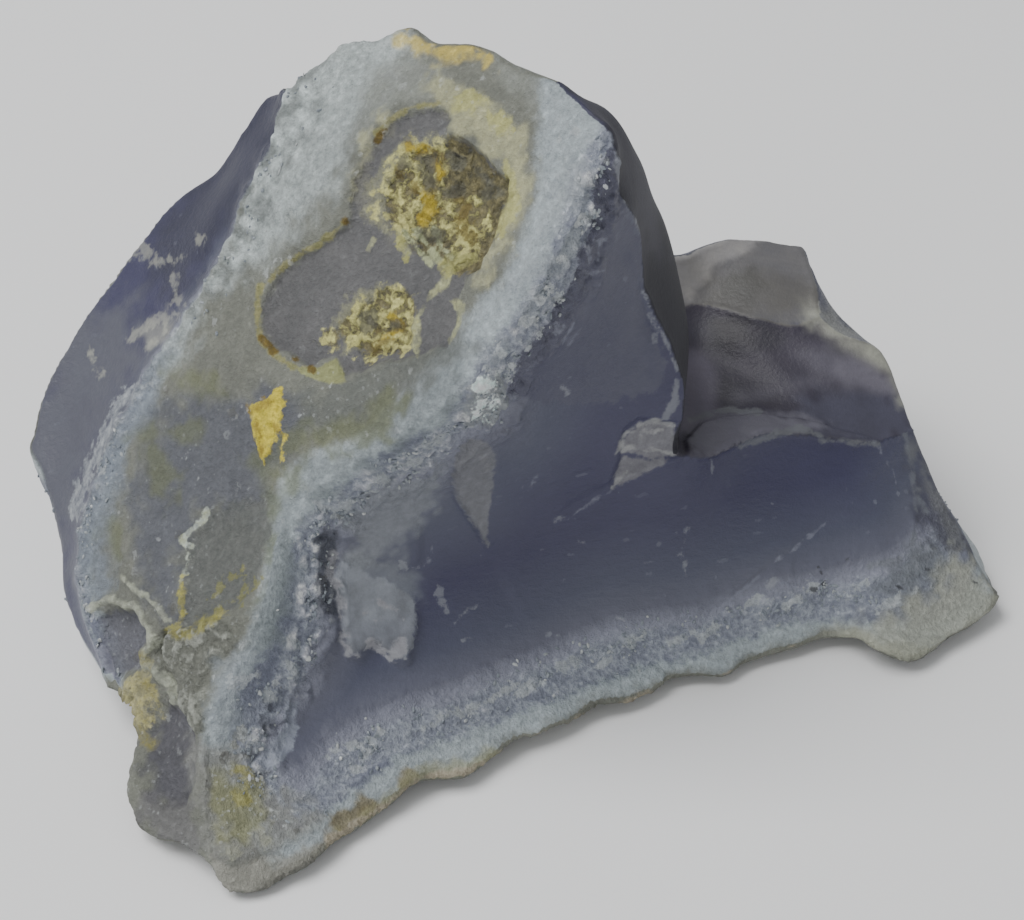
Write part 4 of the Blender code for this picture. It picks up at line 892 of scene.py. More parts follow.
# An area is a list of corners, a stripe is (half its width in mm, line), and a name is a mark's own outline
TINTS = {
    "left face top": Tint(LEFT, ("#28293b", "#2d2e40"), 4.0, 1.0, 0.9, [[(250, 80), (300, 80), (300, 120),
      (250, 210), (205, 262), (178, 300), (160, 290), (150, 240), (200, 160)]]),
    "left face low": Tint(LEFT, ("#565861", "#51525c"), 4.0, 1.0, 0.9, [[(130, 300), (150, 360), (110, 430),
      (90, 500), (70, 560), (60, 650), (20, 560), (10, 440), (60, 320)]]),
    # Painted shade: the crescent faces away from the lamps, so its colours are darkened to stand for the
    # shade on it, deepest in its core
    "painted shade of the crescent's core": Tint(CRESCENT, ("#161620", "#14141e"), 1.0, 0.5, 0.95, [[(540, 60), (720, 60),
      (720, 480), (600, 480), (600, 120)]]),
    "painted shade of the crescent's top": Tint(CRESCENT, ("#383743", "#32323d"), 2.0, 0.5, 0.9, [[(540, 60), (640, 100),
      (662, 200), (664, 262), (644, 250), (628, 190), (612, 140)]]),
    # Painted shade: the whole bowl is darkened for the shade that the tower casts on it
    "painted shade over the whole bowl": Tint(BOWL, ("#37313e", "#312e3b"), 1.0, 0.5, 0.95, [[(640, 250), (960, 250), (960, 480),
      (640, 480)]]),
    "bowl blue": Tint(BOWL, ("#474757", "#4b4b5b"), 3.0, 1.0, 0.9, [[(800, 400), (850, 384), (900, 385),
      (930, 440), (880, 450), (820, 436)]]),
    "lens core": Tint(BOWL, ("#605e6a", "#686772"), 0.8, 0.4, 0.9, [[(690, 430), (704, 416), (740, 408),
      (790, 414), (830, 426), (800, 432), (760, 440), (720, 456), (690, 454)]]),
    "edge of the core": Tint(SCOOP, ("#444558", "#4b4c5d"), 0.4, 0.6, 0.9, [[(600, 150), (597, 172),
      (592, 196), (594, 214), (585, 240), (576, 262), (570, 285), (553, 306), (545, 328), (526, 346),
      (516, 366), (509, 392), (540, 402), (600, 404), (660, 392), (668, 360), (646, 320), (642, 286),
      (642, 240), (624, 204), (620, 170), (614, 146)]]),
    "end face": Tint(SCOOP, ("#3c3c4a", "#424354"), 1.5, 0.8, 0.85, [[(905, 425), (930, 430), (1010, 585),
      (985, 585), (960, 556), (930, 548), (914, 520), (908, 470)]]),
    "end rim": Tint(SCOOP, ("#70736f", "#84867f"), 0.8, 0.5, 0.35, [(0.35, [(908, 446), (926, 480),
      (946, 520), (972, 556), (996, 590)])]),
    "pale upper wall": Tint(WALL, ("#959e9e", "#c6cfcf"), 3.0, 0.8, 0.85, [[(270, 80), (345, 30), (408, 16),
      (410, 50), (385, 90), (352, 140), (330, 190), (296, 226), (252, 266), (212, 292), (194, 330),
      (170, 372), (150, 380), (140, 360), (180, 320), (225, 250)]], "sugar"),
    "left light band": Tint(WALL, ("#6e7680", "#858f9b"), 1.6, 0.6, 0.8, [[(150, 350), (172, 356),
      (160, 390), (150, 420), (128, 450), (124, 490), (108, 530), (112, 580), (104, 600), (84, 590),
      (78, 540), (90, 490), (104, 440), (126, 400)]], "sugar"),
    "low light band": Tint(TOWER, ("#7b838a", "#8f979c"), 1.4, 0.8, 0.7, [[(216, 660), (234, 650),
      (262, 640), (250, 680), (236, 720), (232, 764), (216, 760), (208, 720)]], "sugar"),
    "paler light band": Tint(TOWER, ("#878e95", "#9ca3a6"), 1.6, 1.0, 0.6, [(0.9, [(584, 150), (566, 190),
      (546, 250), (520, 290)]), (0.5, [(300, 500), (320, 484), (350, 462)])], "sugar"),
    "duller light band": Tint(TOWER, ("#70787b", "#8a9396"), 1.4, 0.8, 0.8, [(1.3, [(266, 630), (276, 575),
      (282, 522), (298, 488), (324, 470), (360, 452), (400, 422), (430, 402), (452, 370)])], "sugar"),
    "frosty belt": Tint(TOWER, ("#777e87", "#a3a9ae"), 1.2, 1.2, 0.75, [(0.7, [(590, 150), (582, 190),
      (574, 226), (560, 262), (544, 288), (520, 322), (498, 354), (480, 396)])], "sugar"),
    "crystals of the left rim": Tint(("vein_wall", "left_facet"), ("#5d636e", "#b6bbbd"), 0.35, 0.8, 0.65,
      [[(152, 376), (132, 386), (118, 396), (110, 412), (103, 430), (95, 446), (84, 464), (78, 482),
      (72, 500), (69, 516), (77, 520), (84, 500), (91, 480), (100, 462), (109, 446), (116, 430), (124, 408),
      (138, 396), (154, 384)]], "sugar"),
    "top grey": Tint(WALL, ("#8c9087", "#7f827e"), 1.2, 0.4, 0.8, [[(372, 66), (400, 62), (440, 64),
      (450, 76), (446, 92), (424, 98), (398, 104), (378, 120), (356, 150), (348, 140), (362, 104)],
      [(500, 62), (540, 78), (536, 110), (520, 96), (500, 84)]]),
    "lower wall slate": Tint(WALL, ("#494c59", "#545765"), 2.6, 1.0, 0.75, [[(170, 396), (240, 395),
      (300, 400), (330, 420), (300, 450), (272, 480), (262, 520), (205, 512), (180, 560), (176, 620),
      (150, 600), (132, 560), (128, 500), (140, 440)]]),
    "grey under scar": Tint(WALL, ("#5d615d", "#646763"), 1.6, 0.8, 0.75, [[(300, 392), (345, 388),
      (380, 365), (430, 352), (462, 330), (470, 350), (440, 376), (410, 400), (390, 425), (340, 440),
      (300, 430)]]),
    "olive wash": Tint(WALL, ("#6c7135", "#616833"), 1.4, 0.9, 0.4, [(0.7, [(160, 374), (190, 380),
      (222, 391)]), (1.3, [(288, 440), (330, 436), (372, 428), (392, 402)]), (0.6, [(116, 528), (116, 548)]),
      (1.0, [(152, 455), (168, 490)]), (1.2, [(266, 468), (288, 480)]), (0.5, [(258, 600), (266, 560),
      (275, 500)]), (0.6, [(140, 438), (196, 428)])]),
    "top iron": Tint(WALL, ("#d5bc3e", "#e7d05b"), 0.9, 1.0, 0.6, [(0.4, [(402, 40), (424, 46), (440, 54)]),
      (0.6, [(442, 50), (468, 50), (482, 57)]), (0.25, [(428, 44), (442, 56), (484, 62)])], "sugar"),
    "scar floor": Tint(WALL, ("#555558", "#605f62"), 0.5, 0.3, 0.85, ["chip scar"]),
    "cream beside scar": Tint(WALL, ("#bcba8f", "#a0a07f"), 1.2, 0.9, 0.75, [[(440, 70), (458, 85),
      (480, 95), (500, 112), (520, 130), (528, 160), (524, 200), (512, 235), (500, 262), (480, 284),
      (470, 280), (482, 255), (492, 228), (505, 200), (506, 180), (490, 160), (470, 145), (450, 130),
      (446, 105), (430, 100)], (0.5, [(390, 122), (374, 138), (364, 160), (362, 184)]), (0.9, [(366, 196),
      (376, 214), (392, 234)])], "sugar"),
    "bright cream": Tint(WALL, ("#b9b87b", "#a5a363"), 0.5, 0.6, 0.85, [[(486, 116), (500, 112), (512, 118),
      (514, 130), (500, 136), (490, 128)], [(504, 160), (514, 168), (520, 196), (514, 224), (498, 240),
      (484, 238), (494, 220), (504, 200)], [(452, 96), (474, 88), (490, 100), (470, 112), (452, 112)]],
      "sugar"),
    "cream slivers": Tint(WALL, ("#babd8f", "#a6a677"), 0.3, 0.25, 0.8, [[(408, 320), (419, 314), (421, 326),
      (420, 342), (417, 356), (412, 348), (409, 334)], [(447, 270), (456, 265), (452, 277), (447, 288),
      (437, 293), (428, 301), (423, 306), (431, 292), (440, 281)], (0.1, [(430, 298), (417, 319)]),
      [(449, 300), (458, 298), (462, 303), (466, 306), (464, 312), (457, 310)], (0.12, [(460, 311),
      (457, 328), (450, 342)]), (0.17, [(374, 238), (369, 249)]), [(398, 222), (408, 240), (411, 256),
      (404, 258), (396, 240)]], "flaky"),
    "ochre outline": Tint(WALL, ("#7c7c4c", "#979364"), 0.3, 0.3, 0.9, [(0.2, [(440, 104), (428, 104),
      (414, 107), (390, 120), (376, 133)]), (0.14, [(345, 222), (331, 234)]), (0.28, [(328, 236), (318, 246),
      (306, 250)]), (0.2, [(300, 255), (285, 266), (270, 280)]), (0.28, [(260, 286), (257, 312),
      (260, 338)]), (0.24, [(262, 344), (276, 356), (294, 368), (314, 372)])], "sugar"),
    "cream tongue": Tint(WALL, ("#939768", "#848659"), 0.25, 0.15, 1.0, [[(296, 366), (312, 370), (322, 366),
      (336, 358), (343, 368), (346, 383), (330, 384), (314, 379), (300, 374)]]),
    "yellow patch": Tint(WALL, ("#aa9c27", "#decd4a"), 0.25, 0.35, 1.0, ["yellow flake", (0.1, [(286, 434),
      (283, 446), (282, 460)])], "sugar"),
    "iron of the flake": Tint(WALL, ("#7c661c", "#a08c34"), 0.4, 0.6, 0.7, [(0.35, [(253, 409), (262, 404),
      (268, 402)]), (0.15, [(256, 424), (259, 440), (262, 452)]), (0.12, [(272, 414), (276, 430)])],
      "sugar"),
    "iron spots": Tint(WALL, ("#4f400e", "#725f17"), 0.3, 0.3, 0.95, [(0.22, [(377, 141), (380, 136),
      (384, 130)]), (0.2, [(345, 221), (346, 223)]), (0.3, [(262, 338), (274, 352)]), (0.2, [(295, 358),
      (296, 359)]), (0.22, [(311, 369), (313, 371)])], "sugar"),
    "halo of the crust": Tint(WALL, ("#85856c", "#9a9a78"), 0.75, 0.9, 0.6, [[(388, 156), (400, 140),
      (430, 134), (448, 138), (440, 150), (410, 156), (400, 176), (392, 200), (384, 222), (394, 238),
      (378, 230), (366, 208), (370, 180), (378, 166)], [(334, 318), (350, 298), (372, 288), (396, 284),
      (408, 298), (408, 320), (404, 346), (380, 354), (344, 350)]], "sugar"),
    "hollow floor": Tint(WALL, ("#484634", "#867e56"), 0.5, 0.6, 0.95, ["upper hollow", "lower hollow",
      "small ring"], "sugar"),
    "brown of the hollow": Tint(WALL, ("#655825", "#796e30"), 0.8, 0.8, 0.8, [[(446, 188), (470, 186),
      (492, 196), (490, 220), (478, 250), (462, 262), (452, 240), (448, 214)]], "sugar"),
    "lace of crust": Tint(WALL, ("#b5b16e", "#e3df8d"), 0.6, 1.0, 0.85, [[(394, 152), (408, 140), (436, 138),
      (448, 146), (444, 170), (450, 190), (462, 200), (476, 196), (492, 208), (486, 236), (474, 256),
      (458, 262), (448, 240), (430, 234), (404, 238), (384, 224), (372, 206), (376, 184), (388, 168)],
      "lower hollow", "small ring"], "crust"),
    "streaks in the hollow": Tint(WALL, ("#9ea380", "#bbc294"), 0.3, 0.5, 0.9, [(0.2, [(404, 232),
      (420, 250), (432, 264)]), (0.25, [(418, 232), (430, 250), (446, 266)]), (0.2, [(434, 228), (440, 244),
      (452, 258)])], "sugar"),
    "cream flakes": Tint(WALL, ("#98975b", "#b4b270"), 0.25, 0.4, 0.95, [[(392, 226), (400, 232), (408, 250),
      (410, 264), (404, 262), (396, 246)], [(438, 264), (450, 252), (464, 254), (478, 248), (478, 260),
      (462, 268), (450, 278), (440, 274)]], "flaky"),
    "hollow iron": Tint(WALL, ("#5d4e17", "#716227"), 0.7, 0.9, 0.75, [(0.7, [(428, 190), (432, 214)]),
      (0.4, [(410, 146), (430, 148)]), (0.4, [(436, 160), (440, 178)]), (0.5, [(458, 198), (468, 240)]),
      (0.5, [(382, 330), (404, 326)]), (0.45, [(376, 346), (388, 340)]), (0.3, [(400, 170), (420, 190)])],
      "sugar"),
    "hollow orange": Tint(WALL, ("#a08b1e", "#cdb737"), 0.5, 0.6, 0.85, [(0.5, [(426, 198), (432, 208),
      (424, 218)]), (0.25, [(410, 148), (426, 146)]), (0.2, [(384, 336), (398, 332)]), (0.2, [(392, 316),
      (402, 322)]), (0.2, [(438, 166), (440, 178)])], "sugar"),
    "hollow shade": Tint(WALL, ("#504f45", "#626253"), 0.5, 0.6, 0.8, [[(448, 149), (458, 150), (466, 160),
      (464, 172), (452, 168)], (0.3, [(478, 172), (492, 184), (500, 192)]), [(384, 176), (393, 176),
      (392, 184), (385, 184)], [(440, 187), (464, 184), (468, 194), (450, 200), (440, 196)], [(418, 158),
      (434, 156), (436, 182), (428, 196), (420, 178)], [(398, 158), (410, 154), (412, 168), (400, 170)],
      [(476, 190), (492, 188), (496, 198), (484, 202)], [(420, 232), (444, 228), (446, 240), (430, 244)],
      [(356, 316), (364, 306), (376, 308), (380, 324), (370, 334), (358, 330)], (0.35, [(384, 330),
      (398, 324)])], "sugar"),
    "pits": Tint(WALL, ("#24211c", "#2f2c26"), 0.15, 0.15, 0.9, [(0.12, [(453, 151), (459, 157)]),
      (0.1, [(441, 185), (442, 186)]), (0.12, [(206, 779), (209, 783)]), (0.1, [(238, 786), (243, 789)]),
      (0.08, [(270, 812), (271, 813)]), (0.08, [(280, 806), (281, 807)])]),
    "green floor": Tint(WALL, ("#535755", "#666866"), 0.7, 0.5, 0.85, ["green dip"], "sugar"),
    "green dip lip": Tint(WALL, ("#c1cbc9", "#b2b898"), 0.3, 0.5, 0.85, [(0.2, [(207, 511), (201, 522),
      (193, 530), (184, 540)]), (0.3, [(184, 540), (189, 546)]), (0.16, [(188, 552), (186, 566),
      (182, 580)])], "flaky"),
    "green dip iron": Tint(WALL, ("#a7a138", "#c5bd58"), 0.4, 0.6, 0.85, [(0.16, [(183, 578), (181, 628)]),
      (0.4, [(174, 632), (192, 634)]), (0.35, [(208, 624), (222, 612)])], "flaky"),
    "green dip specks": Tint(WALL, ("#6f703f", "#8c8a52"), 0.3, 1.0, 0.7, [(0.22, [(214, 610), (226, 602),
      (240, 598)]), (0.2, [(244, 590), (256, 588), (262, 576)]), (0.2, [(214, 592), (220, 584)]),
      (0.18, [(232, 576), (244, 570)])], "sugar"),
    "crust of the crest": Tint(WALL, ("#787a72", "#9ea197"), 0.6, 0.8, 0.9, ["crusted crest"], "crust"),
    "crest iron": Tint(WALL, ("#9b984f", "#8b8644"), 0.5, 0.6, 0.8, [(0.45, [(172, 634), (186, 636)]),
      (0.45, [(200, 624), (214, 618)])], "flaky"),
    "ledge cream": Tint(WALL, ("#b4b8a8", "#9fa38f"), 0.25, 0.2, 0.9, ["ledge", "pale seam"], "flaky"),
    "ochre of the lump": Tint(WALL, ("#c0ba8a", "#aaa365"), 0.5, 0.6, 0.9, ["ochre lump"], "flaky"),
    "lump iron": Tint(WALL, ("#7f7838", "#8d8748"), 0.6, 0.5, 0.8, [(0.5, [(138, 734), (150, 744)]),
      (0.35, [(144, 684), (152, 688)]), (0.5, [(140, 656), (144, 660)])], "flaky"),
    "undercut shade": Tint(WALL, ("#585962", "#656672"), 0.5, 0.3, 0.85, ["undercut"]),
    "shaded slate": Tint(WALL, ("#45454e", "#504f5a"), 0.8, 0.4, 0.85, ["shaded face"]),
    "left foot grey": Tint(WALL, ("#5f5e61", "#6d6c6f"), 1.2, 0.6, 0.7, [[(140, 790), (196, 800), (204, 860),
      (170, 850), (140, 820)]]),
    "nose grey": Tint(TOWER, ("#727270", "#8d8f89"), 1.8, 1.0, 0.85, [[(194, 742), (232, 748), (258, 772),
      (290, 800), (322, 816), (292, 850), (226, 872), (204, 852), (194, 800)]], "sugar"),
    "nose iron": Tint(TOWER, ("#75773b", "#8c8c52"), 1.6, 1.2, 0.5, [[(212, 776), (240, 770), (258, 784),
      (264, 812), (254, 840), (228, 846), (212, 820)]], "sugar"),
    "nose ochre": Tint(TOWER, ("#7f7b3b", "#a29f62"), 0.6, 0.7, 0.8, [[(230, 794), (236, 786), (246, 784),
      (250, 792), (248, 806), (236, 812)], (0.35, [(236, 768), (250, 774)])], "sugar"),
    "nose cream": Tint(TOWER, ("#a8a994", "#989880"), 0.4, 0.6, 0.85, [(0.5, [(262, 830), (266, 842)]),
      (0.45, [(226, 852), (236, 852)]), (0.4, [(218, 826), (224, 834)]), (0.45, [(240, 730), (244, 738)]),
      (0.3, [(230, 746), (234, 748)])], "flaky"),
    "foot iron": Tint(SCOOP, ("#66550e", "#806d1b"), 0.8, 0.7, 0.7, [(0.8, [(344, 820), (358, 812),
      (368, 806)]), (0.4, [(404, 782), (412, 776)]), (0.25, [(346, 836), (356, 828)])], "sugar"),
    "foot skin": Tint(SCOOP, ("#9e9581", "#b5ab96"), 0.5, 0.4, 0.9, [[(326, 834), (340, 830), (384, 804),
      (412, 784), (430, 772), (470, 766), (500, 754), (520, 742), (560, 726), (600, 708), (640, 696),
      (660, 720), (500, 830), (330, 900)], (0.5, [(640, 700), (720, 682), (800, 652)])], "sugar"),
    "nose skin": Tint(SCOOP, ("#88877e", "#99988f"), 0.9, 0.5, 0.85, [[(206, 850), (216, 862), (240, 866),
      (270, 860), (300, 848), (330, 832), (340, 850), (300, 890), (200, 930)]], "sugar"),
    "foot olive": Tint(SCOOP, ("#abaa87", "#989a79"), 1.0, 0.6, 0.6, [(0.6, [(330, 850), (360, 826),
      (400, 796), (420, 778)]), (0.7, [(425, 774), (470, 768), (490, 756)]), (0.7, [(850, 642), (905, 652),
      (925, 648)])]),
    "right end haze": Tint(SCOOP, ("#5f646b", "#6c7177"), 2.0, 1.0, 0.75, [[(872, 592), (888, 566),
      (918, 548), (936, 546), (952, 560), (936, 590), (904, 602)]], "sugar"),
    "right end grey": Tint(SCOOP, ("#97998c", "#acaea0"), 2.4, 1.0, 0.8, [[(868, 622), (905, 606),
      (930, 592), (942, 572), (954, 556), (972, 562), (988, 580), (1012, 592), (1000, 660), (900, 670),
      (820, 660), (838, 630)]], "sugar"),
    "low flake": Tint(SCOOP, ("#848998", "#9ea5b0"), 0.4, 0.5, 0.8, [[(286, 700), (296, 704), (297, 740),
      (286, 756), (270, 772), (262, 764), (268, 746), (284, 730)]], "sugar"),
    # Painted shadow: a dark line left of the lower step's edge, where the raised face beside it throws shade
    "painted shadow by the lower step edge": Tint(SCOOP, ("#50535f", "#5a5e6a"), 0.4, 0.5, 0.7, [[(264, 698), (274, 698), (276, 712),
      (266, 714)], (0.3, [(262, 718), (266, 734)])]),
    # Painted shadow: the hollow between the quartz belt and the ragged flake is darkened as if shaded by the
    # flake's edge
    "painted shadow in the slot by the flake": Tint(SCOOP, ("#3b3e49", "#464a55"), 0.9, 0.6, 0.9, [[(322, 528), (334, 530), (342, 548),
      (336, 560), (330, 578), (338, 590), (341, 614), (332, 622), (318, 604), (320, 570)]]),
    "frost": Tint(SCOOP, ("#8f959b", "#b4b9bb"), 0.35, 0.8, 0.85, [(0.29, [(330, 758), (336, 752)]),
      (0.22, [(352, 772), (360, 768)]), (0.36, [(364, 756), (376, 748)]), (0.29, [(352, 746), (380, 734)]),
      (0.36, [(424, 728), (440, 720)]), (0.29, [(448, 718), (460, 712)]), (0.36, [(470, 708), (490, 700)]),
      (0.29, [(498, 694), (512, 688)]), (0.29, [(520, 692), (540, 684)]), (0.25, [(560, 668), (575, 660)]),
      (0.25, [(600, 664), (612, 656)]), (0.32, [(630, 642), (645, 634)]), (0.36, [(672, 642), (690, 634)]),
      (0.29, [(700, 640), (716, 628)]), (0.25, [(748, 606), (764, 598)]), (0.32, [(786, 606), (800, 598)]),
      (0.29, [(806, 592), (812, 584)]), (0.36, [(880, 606), (900, 598)]), (0.29, [(852, 594), (862, 584)]),
      (0.22, [(916, 592), (924, 586)]), (0.36, [(318, 505), (340, 512), (350, 500)]), (0.32, [(372, 486),
      (384, 478)]), (0.32, [(400, 468), (416, 460)]), (0.29, [(430, 446), (440, 440)]), (0.36, [(290, 640),
      (300, 650)]), (0.32, [(286, 664), (296, 672)]), (0.29, [(236, 684), (252, 676)]), (0.36, [(264, 690),
      (276, 700)]), (0.29, [(240, 730), (250, 744)])], "sugar"),
    "frost of the rim": Tint(SCOOP, ("#9aa0a5", "#ccd0d1"), 0.3, 0.9, 0.85, [(0.26, [(556, 207), (574, 210),
      (590, 215)]), (0.2, [(553, 226), (568, 223), (584, 227)]), (0.3, [(550, 254), (562, 260)]),
      (0.3, [(532, 268), (538, 258)]), (0.35, [(549, 288), (560, 296)]), (0.25, [(540, 300), (546, 296)]),
      (0.22, [(514, 320), (536, 322)]), (0.2, [(530, 338), (538, 332)]), (0.35, [(494, 338), (502, 354)]),
      (0.2, [(524, 342), (528, 346)]), (0.35, [(484, 364), (498, 376)]), (0.25, [(506, 378), (512, 366)]),
      (0.14, [(568, 160), (586, 164)]), (0.22, [(586, 148), (594, 164)])], "sugar"),
    "hackle line": Tint(SCOOP, ("#747786", "#8a8d99"), 0.25, 0.25, 0.65, [(0.13, [(668, 638), (690, 628),
      (708, 621)]), (0.13, [(711, 617), (724, 606), (748, 586), (768, 568)]), (0.11, [(772, 564), (800, 544),
      (826, 522)]), (0.07, [(610, 492), (588, 504), (566, 520)]), (0.1, [(588, 240), (590, 262)]),
      (0.1, [(600, 240), (598, 262)]), (0.1, [(580, 269), (590, 274), (604, 270)]), (0.07, [(585, 240),
      (607, 240)]), (0.08, [(556, 334), (563, 326)]), (0.12, [(547, 332), (558, 323)]), (0.08, [(562, 342),
      (574, 323)]), (0.08, [(568, 345), (581, 327)]), (0.08, [(520, 366), (526, 372), (533, 366)]),
      (0.07, [(540, 470), (532, 486), (520, 500)]), (0.07, [(455, 466), (454, 488), (461, 506), (472, 522),
      (482, 538)]), (0.07, [(433, 546), (430, 560), (418, 568), (408, 565)]), (0.06, [(878, 446), (892, 470),
      (896, 486)])]),
    "specks": Tint(SCOOP, ("#26272d", "#34353b"), 0.15, 0.25, 0.8, [(0.1, [(806, 588), (816, 590)]),
      (0.08, [(822, 586), (826, 580)]), (0.06, [(846, 560), (852, 556)]), (0.12, [(926, 569), (946, 566)]),
      (0.08, [(970, 578), (978, 586)]), (0.06, [(880, 518), (884, 516)]), (0.07, [(896, 586), (906, 590)]),
      (0.06, [(818, 566), (822, 574)])]),
    "step flake top": Tint(SCOOP, ("#64686c", "#868b90"), 1.4, 0.6, 0.8, [[(344, 550), (372, 556),
      (400, 566), (414, 580), (412, 610), (380, 620), (346, 610), (338, 584)]], "sugar"),
    "step flake": Tint(SCOOP, ("#65686e", "#8c9199"), 0.3, 0.35, 0.85, [[(340, 560), (336, 568), (330, 580),
      (338, 588), (340, 612), (343, 634), (346, 652), (356, 657), (364, 648), (372, 642), (380, 648),
      (392, 659), (406, 660), (413, 648), (416, 620), (414, 600), (396, 586), (366, 572)]]),
    "upper flake": Tint(SCOOP, ("#72777b", "#8a8e93"), 1.2, 0.8, 0.65, [[(346, 500), (380, 484), (420, 474),
      (444, 470), (445, 486), (434, 506), (424, 522), (410, 534), (400, 548), (384, 562), (364, 556),
      (350, 546), (344, 524)]], "sugar"),
    "flake rim": Tint(SCOOP, ("#838388", "#97989d"), 0.35, 0.5, 0.9, [(0.32, [(334, 552), (331, 578),
      (340, 590), (342, 616)]), (0.3, [(344, 634), (348, 650), (357, 654)]), (0.28, [(370, 642), (384, 652),
      (394, 658)]), [(394, 640), (404, 640), (411, 650), (405, 660), (391, 658)], (0.12, [(380, 602),
      (396, 610), (404, 618)]), (0.2, [(482, 456), (488, 468)]), (0.15, [(366, 612), (378, 618)])], "sugar"),
    "flake shade": Tint(SCOOP, ("#5b606c", "#666a77"), 1.6, 0.7, 0.7, [[(378, 566), (400, 572), (416, 580),
      (418, 600), (404, 606), (384, 596), (366, 580)]]),
    "long flake": Tint(SCOOP, ("#626366", "#76777c"), 0.35, 0.35, 0.85, [[(460, 446), (453, 468), (454, 488),
      (460, 504), (470, 520), (480, 534), (488, 548), (488, 524), (492, 490), (497, 456), (488, 442),
      (470, 438)]], "sugar"),
    "knob grey": Tint(SCOOP, ("#7d8286", "#8d9192"), 0.5, 0.6, 0.85, ["white knob"], "sugar"),
    "knob white": Tint(SCOOP, ("#d2ebe6", "#f3f3f3"), 0.4, 0.8, 0.9, [[(476, 376), (494, 374), (496, 388),
      (486, 394), (474, 390)], (0.35, [(480, 400), (476, 416), (484, 420)]), (0.3, [(492, 398),
      (494, 410)])], "sugar"),
    "chip pale": Tint(SCOOP, ("#626167", "#7e7e82"), 0.3, 0.3, 0.85, [[(618, 452), (624, 436), (640, 424),
      (660, 420), (674, 426), (674, 456), (650, 460), (634, 454)], [(622, 455), (650, 460), (672, 458),
      (660, 466), (634, 478), (612, 488)]], "sugar"),
    "chip bright": Tint(SCOOP, ("#858687", "#9d9e9d"), 0.3, 0.3, 0.8, [(0.14, [(619, 450), (625, 434),
      (640, 424), (658, 421), (674, 425)]), (0.1, [(636, 442), (646, 432), (662, 430)]), (0.14, [(619, 453),
      (630, 447), (642, 452), (654, 449), (674, 455)]), (0.1, [(612, 487), (626, 472)])], "sugar"),
    "step edge pale": Tint(("front_scoop", "bowl"), ("#70737c", "#81848b"), 0.3, 0.3, 0.75,
      [(0.32, [(677, 382), (675, 400), (666, 418)]), (0.09, [(642, 290), (652, 312), (666, 342),
      (677, 370)]), (0.1, [(624, 200), (635, 211), (640, 232)]), (0.16, [(650, 316), (655, 330),
      (656, 344)]), [(615, 150), (621, 152), (625, 170), (623, 190), (618, 180), (614, 164)]]),
    "white flecks": Tint(SCOOP, ("#9a9fa4", "#b4b7b8"), 0.25, 0.4, 0.6, [(0.2, [(401, 562), (406, 568)]),
      (0.06, [(690, 526), (683, 538), (681, 552)]), (0.12, [(681, 553), (683, 558)]), (0.06, [(684, 562),
      (687, 580)]), (0.2, [(436, 596), (440, 590), (442, 606)]), (0.12, [(444, 604), (448, 612)]),
      (0.1, [(456, 624), (464, 612), (476, 606)]), (0.12, [(458, 641), (474, 639)]), (0.1, [(548, 634),
      (560, 636), (566, 644)]), (0.3, [(768, 586), (776, 580)]), (0.12, [(560, 386), (568, 392)]),
      (0.15, [(712, 462), (712, 470)]), (0.1, [(548, 468), (552, 474)]), (0.1, [(554, 522), (566, 514)]),
      (0.08, [(616, 616), (624, 620)]), (0.1, [(578, 542), (586, 544)])], "flaky"),
    "left face wedge": Tint(LEFT, ("#8f8f88", "#7c7d7a"), 0.9, 0.5, 0.6, [[(138, 336), (152, 322),
      (168, 308), (176, 316), (170, 336), (154, 346)]]),
    "left face pale": Tint(LEFT, ("#c6c6b3", "#aeb0a2"), 0.5, 0.7, 0.65, [(0.3, [(130, 338), (144, 328),
      (160, 320), (176, 314)]), (0.22, [(146, 348), (158, 342), (168, 328)]), (0.35, [(126, 258), (144, 248),
      (152, 256)]), (0.22, [(150, 262), (168, 262), (184, 258)]), (0.12, [(91, 345), (93, 366), (102, 374)]),
      (0.22, [(172, 276), (178, 304)]), (0.25, [(196, 236), (200, 240)])], "flaky"),
    "shelf warm": Tint(SHELF, ("#79776e", "#6f6e68"), 1.5, 0.4, 0.6, [[(640, 230), (830, 230), (830, 330),
      (640, 310)]]),
    "shelf low": Tint(SHELF, ("#5f5d59", "#585654"), 1.4, 0.4, 0.8, [[(706, 284), (750, 270), (790, 274),
      (830, 292), (830, 314), (700, 310)]]),
    "shelf bright": Tint(SHELF, ("#a19e9b", "#939192"), 0.8, 0.3, 0.7, [[(660, 240), (770, 236), (748, 250),
      (712, 264), (690, 300), (668, 300)]]),
    "rind corner": Tint(("bowl", "shelf_top", "right_end"), ("#bbbcac", "#a5a698"), 1.8, 0.5, 0.7,
      [[(800, 304), (824, 308), (846, 324), (860, 340), (838, 340), (818, 332), (804, 318)], [(838, 336),
      (862, 342), (887, 350), (896, 378), (878, 370), (858, 364), (840, 360), (832, 348)],
      (0.15, [(888, 372), (895, 386), (900, 398)])], "flaky"),
    # Painted shade and painted light over the bowl, patch by patch: darker on its upturned top and under the
    # shelf; on its left, floor, right and foot they undo how far the tower's shadow darkens it; lighter
    # across it and towards its right end
    "painted shade on the bowl's top": Tint(BOWL, ("#1f1c23", "#1e1d24"), 1.5, 0.4, 0.45, [[(704, 322), (730, 314),
      (768, 322), (782, 342), (770, 352), (730, 356), (706, 348)]]),
    "painted light on the bowl's left": Tint(BOWL, ("#3e3946", "#3d3b46"), 1.2, 0.3, 0.85, [[(676, 300), (700, 306),
      (708, 340), (712, 400), (704, 414), (684, 432), (672, 420)]]),
    "painted shading on the bowl's floor": Tint(BOWL, ("#34303a", "#33313b"), 1.5, 0.4, 0.85, [[(714, 368), (760, 384),
      (784, 394), (776, 408), (740, 404), (712, 412)]]),
    "painted light on the bowl's right side": Tint(BOWL, ("#3f3a47", "#3e3c48"), 2.0, 0.15, 0.85, [[(782, 346), (820, 334),
